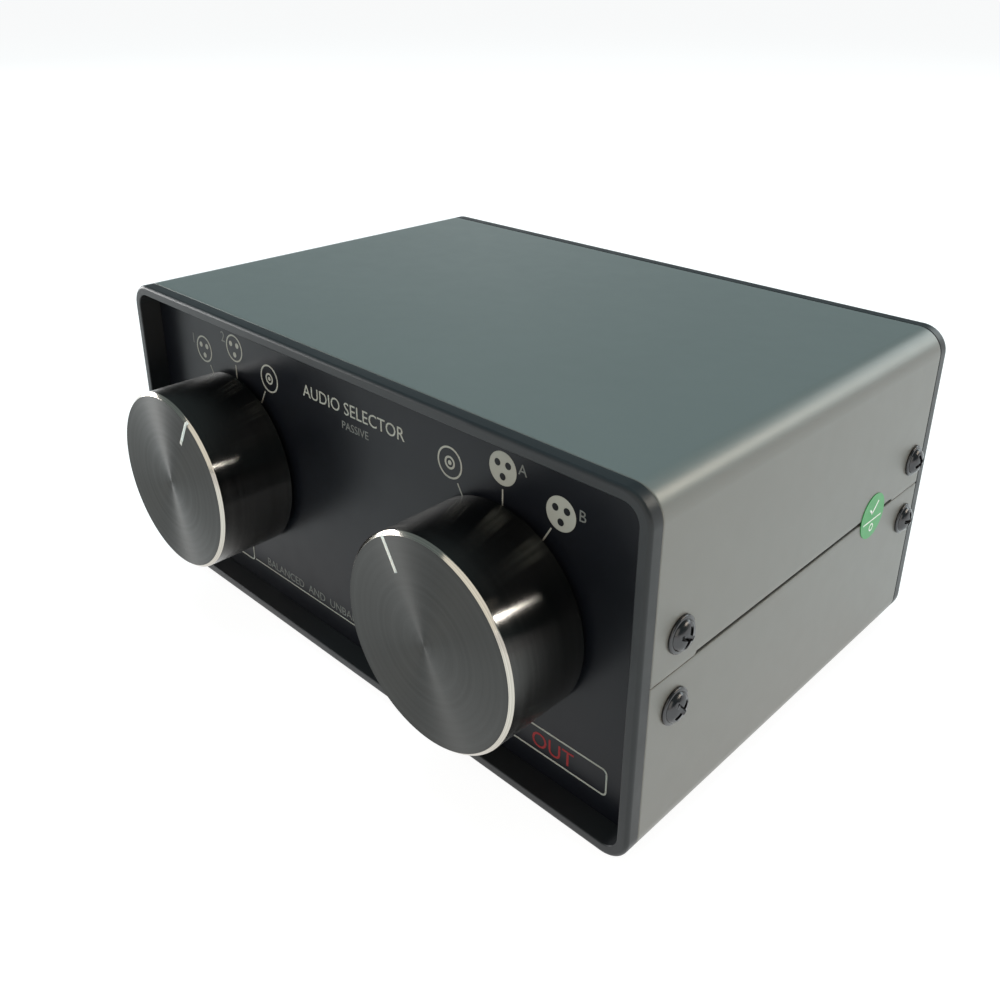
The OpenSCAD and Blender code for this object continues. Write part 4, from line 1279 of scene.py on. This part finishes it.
@dataclass
class RearPrint:
    """Plain labels between the two rows of rear sockets, each beside the sockets that it names."""

    panel: float = 101.0
    film: float = 0.03
    height: float = 1.8
    upper: float = 36.9
    lower: float = 33.1
    rule: Triple = (67.8, 35.0, 0.2)

    def build(self) -> None:
        """Makes a label for each socket from its node's row, number and channel, and a rule
        between the rows."""
        half, middle, thick = self.rule
        parts = [bar((-half, middle), (half, middle), thick, self.film)]
        for node in (row["node"] for row in frame["record"]["subparts"]):
            words = node.split("_")
            numbered = words[1:2] == ["socket"] and len(words) == 4
            if numbered or node.endswith("_phono_block"):
                way, level = ("IN", self.upper) if words[0] == "input" else ("OUT", self.lower)
                text = f"{way} {words[2]} {words[3]}".upper() if numbered else way
                label = letters(text, self.height, 0, self.film)
                parts.append(label.shifted(-middle_mm(node)[0], level))
        put("rear_print", joined(*parts).placed(Facing.REAR, (0, self.panel, 0)), [DIM_INK],
            CASE_BODY, "panel_print", crease=30)


@dataclass(frozen=True)
class Lamp:
    """Soft lamp that faces the object: the way to it, its distance and size in metres, and the
    pieces that it lights where those aren't all."""

    name: str
    way: Triple
    distance: float
    size: Pair
    watts: float
    colour: Colour = (1.0, 1.0, 1.0)
    use: Use = Use.BOTH
    only: tuple[str, ...] = ()
    aim: Triple = (0.0, 0.0, 0.035)

    def hang(self) -> None:
        """Makes the lamp."""
        data = bpy.data.lights.new(self.name, "AREA")
        data.shape, data.energy, data.color = "RECTANGLE", self.watts, self.colour
        data.size, data.size_y = self.size
        lamp = bpy.data.objects.new(self.name, data)
        way = Vector(self.way).normalized()
        spot = Matrix.Translation(Vector(self.aim) + way * self.distance)
        lamp.matrix_world = spot @ way.to_track_quat("Z", "Y").to_matrix().to_4x4()
        lamp.visible_diffuse, lamp.visible_glossy = self.use.value
        if self.only:
            lit = bpy.data.collections.new(self.name + "_lit")
            for piece in self.only:
                lit.objects.link(bpy.data.objects[piece])
            lamp.light_linking.receiver_collection = lit
        bpy.context.scene.collection.objects.link(lamp)


LAMPS = (
    Lamp("key", (0.81, 0.27, 0.49), 0.75, (0.36, 0.04), 8.5, (1.0, 0.95, 0.87), Use.SHINE,
         ("input_knob_turned", "output_knob_turned")),
    Lamp("edge_window", (0.6, 0.55, 0.58), 1.0, (0.5, 0.34), 2.4, (1.0, 0.89, 0.74), Use.SHINE),
    Lamp("side_window", (0.93, -0.25, 0.1), 0.9, (0.8, 0.3), 5.2, (1.0, 0.82, 0.66), Use.FILL),
    Lamp("front_card", (0.2, -0.8, 0.52), 1.2, (1.2, 1.0), 3.6, (1.0, 0.95, 0.86)),
    Lamp("rear_panel_light", (0.3, 0.88, 0.36), 1.6, (1.0, 0.6), 5.0, (0.88, 0.98, 1.0)),
    Lamp("overhead", (-0.1, 0.15, 1.0), 1.1, (0.9, 0.9), 11.5, (0.6, 1.0, 1.08), Use.FILL),
    Lamp("left_strip", (-0.95, -0.28, 0.14), 1.4, (0.8, 0.45), 12.0),
)


@dataclass
class Studio:
    """Pale floor, soft lamps, dim surround and the camera of the photograph."""

    azimuth: float = 44.0642
    elevation: float = 23.6023
    roll: float = 0.3783
    eye: Triple = (143.55, -102.28, 136.77)
    lens: float = 36.01
    sensor: float = 36.0
    shift: Pair = (0.00142, -0.0918)
    far: float = 100.0
    floor_half: float = 9.0
    floor_flat: float = 4.0
    floor_rise: float = 1.0
    floor_under: float = 0.0002
    floor_lines: int = 41
    bounce: float = 0.8
    glow: float = 0.9
    shade: float = 0.25
    ambient: float = 0.2
    tint: Colour = (0.8, 1.0, 1.04)

    def build(self) -> None:
        """Makes floor, surround, lamps and camera."""
        self.floor()
        self.surround()
        for lamp in LAMPS:
            lamp.hang()
        self.camera()

    def floor(self) -> None:
        """Makes the floor, a grid that is flat round the object and rises far away with the square
        of the distance: it gives light back as pale paint, and shows the camera and mirror
        surfaces a white level with the object's shadow on it."""
        side = np.linspace(-self.floor_half, self.floor_half, self.floor_lines)
        x, y = np.meshgrid(side, side, indexing="ij")
        away = np.maximum(np.hypot(x, y) - self.floor_flat, 0) / (self.floor_half - self.floor_flat)
        points = np.stack([x, y, self.floor_rise * away ** 2 - self.floor_under], axis=-1)
        mesh = bpy.data.meshes.new("floor")
        mesh.from_pydata(points.reshape(-1, 3).tolist(), [], quads(*x.shape).tolist())
        tree = Tree("floor_pale")
        path = tree.node("LightPath", {}).outputs
        seen = tree.math("MAXIMUM", path["Is Camera Ray"], path["Is Glossy Ray"])
        seen = tree.math("MAXIMUM", seen, path["Is Transmission Ray"])
        bounce = tree.node("BsdfDiffuse", {"Color": (self.bounce,) * 3}).outputs[0]
        glow = tree.node("Emission", {"Color": (1, 1, 1), "Strength": self.glow}).outputs[0]
        shade = tree.node("BsdfDiffuse", {"Color": (self.shade,) * 3}).outputs[0]
        white = tree.node("AddShader", {0: glow, 1: shade}).outputs[0]
        mixed = tree.node("MixShader", {0: seen, 1: bounce, 2: white}).outputs[0]
        tree.feed(tree.output.inputs[0], mixed)
        mesh.materials.append(tree.material)
        floor = bpy.data.objects.new("floor", mesh)
        bpy.context.scene.collection.objects.link(floor)

    def surround(self) -> None:
        """Makes the plain dim surround, the same for every ray."""
        world = bpy.data.worlds.new("surround")
        world.use_nodes = True
        background = world.node_tree.nodes["Background"]
        background.inputs[0].default_value = (*self.tint, 1.0)
        background.inputs[1].default_value = self.ambient
        bpy.context.scene.world = world

    def camera(self) -> None:
        """Sets the camera: it looks back along its azimuth and elevation, then rolls a little."""
        a, e, r = (math.radians(v) for v in (self.azimuth, self.elevation, self.roll))
        back = Vector((math.sin(a) * math.cos(e), -math.cos(a) * math.cos(e), math.sin(e)))
        right = Vector((math.cos(a), math.sin(a), 0))
        up = back.cross(right)
        rolled = (math.cos(r) * right + math.sin(r) * up, math.cos(r) * up - math.sin(r) * right,
                  back)
        data = bpy.data.cameras.new("photo_view")
        data.lens, data.sensor_width, data.clip_end = self.lens, self.sensor, self.far
        data.shift_x, data.shift_y = self.shift
        camera = bpy.data.objects.new("photo_view", data)
        spot = Matrix.Translation(Vector(np.array(self.eye) * MM + ORIGIN))
        camera.matrix_world = spot @ Matrix(rolled).transposed().to_4x4()
        bpy.context.scene.collection.objects.link(camera)
        bpy.context.scene.camera = camera


def dress_nodes() -> None:
    """Gives every CAD node the finish of its material slot."""
    for row in frame["record"]["subparts"]:
        node = frame["nodes"][row["node"]]
        material = SLOT_FINISHES[row["material_slot"]].material()
        if node.material_slots:
            node.material_slots[0].material = material
        else:
            node.data.materials.append(material)


def main() -> None:
    """Builds the sub-assemblies in order, then the studio."""
    logging.basicConfig(level=logging.INFO, format="%(message)s")
    bpy.context.scene.view_settings.view_transform = "Standard"
    dress_nodes()
    CaseShell().build()
    Fasteners().build()
    Knob("input_knob", 30.0).build()
    Knob("output_knob", -30.0).build()
    FrontPrint().build()
    StickerPrint().build()
    RearSockets().build()
    RearPrint().build()
    Studio().build()


if __name__ == "__main__":
    main()
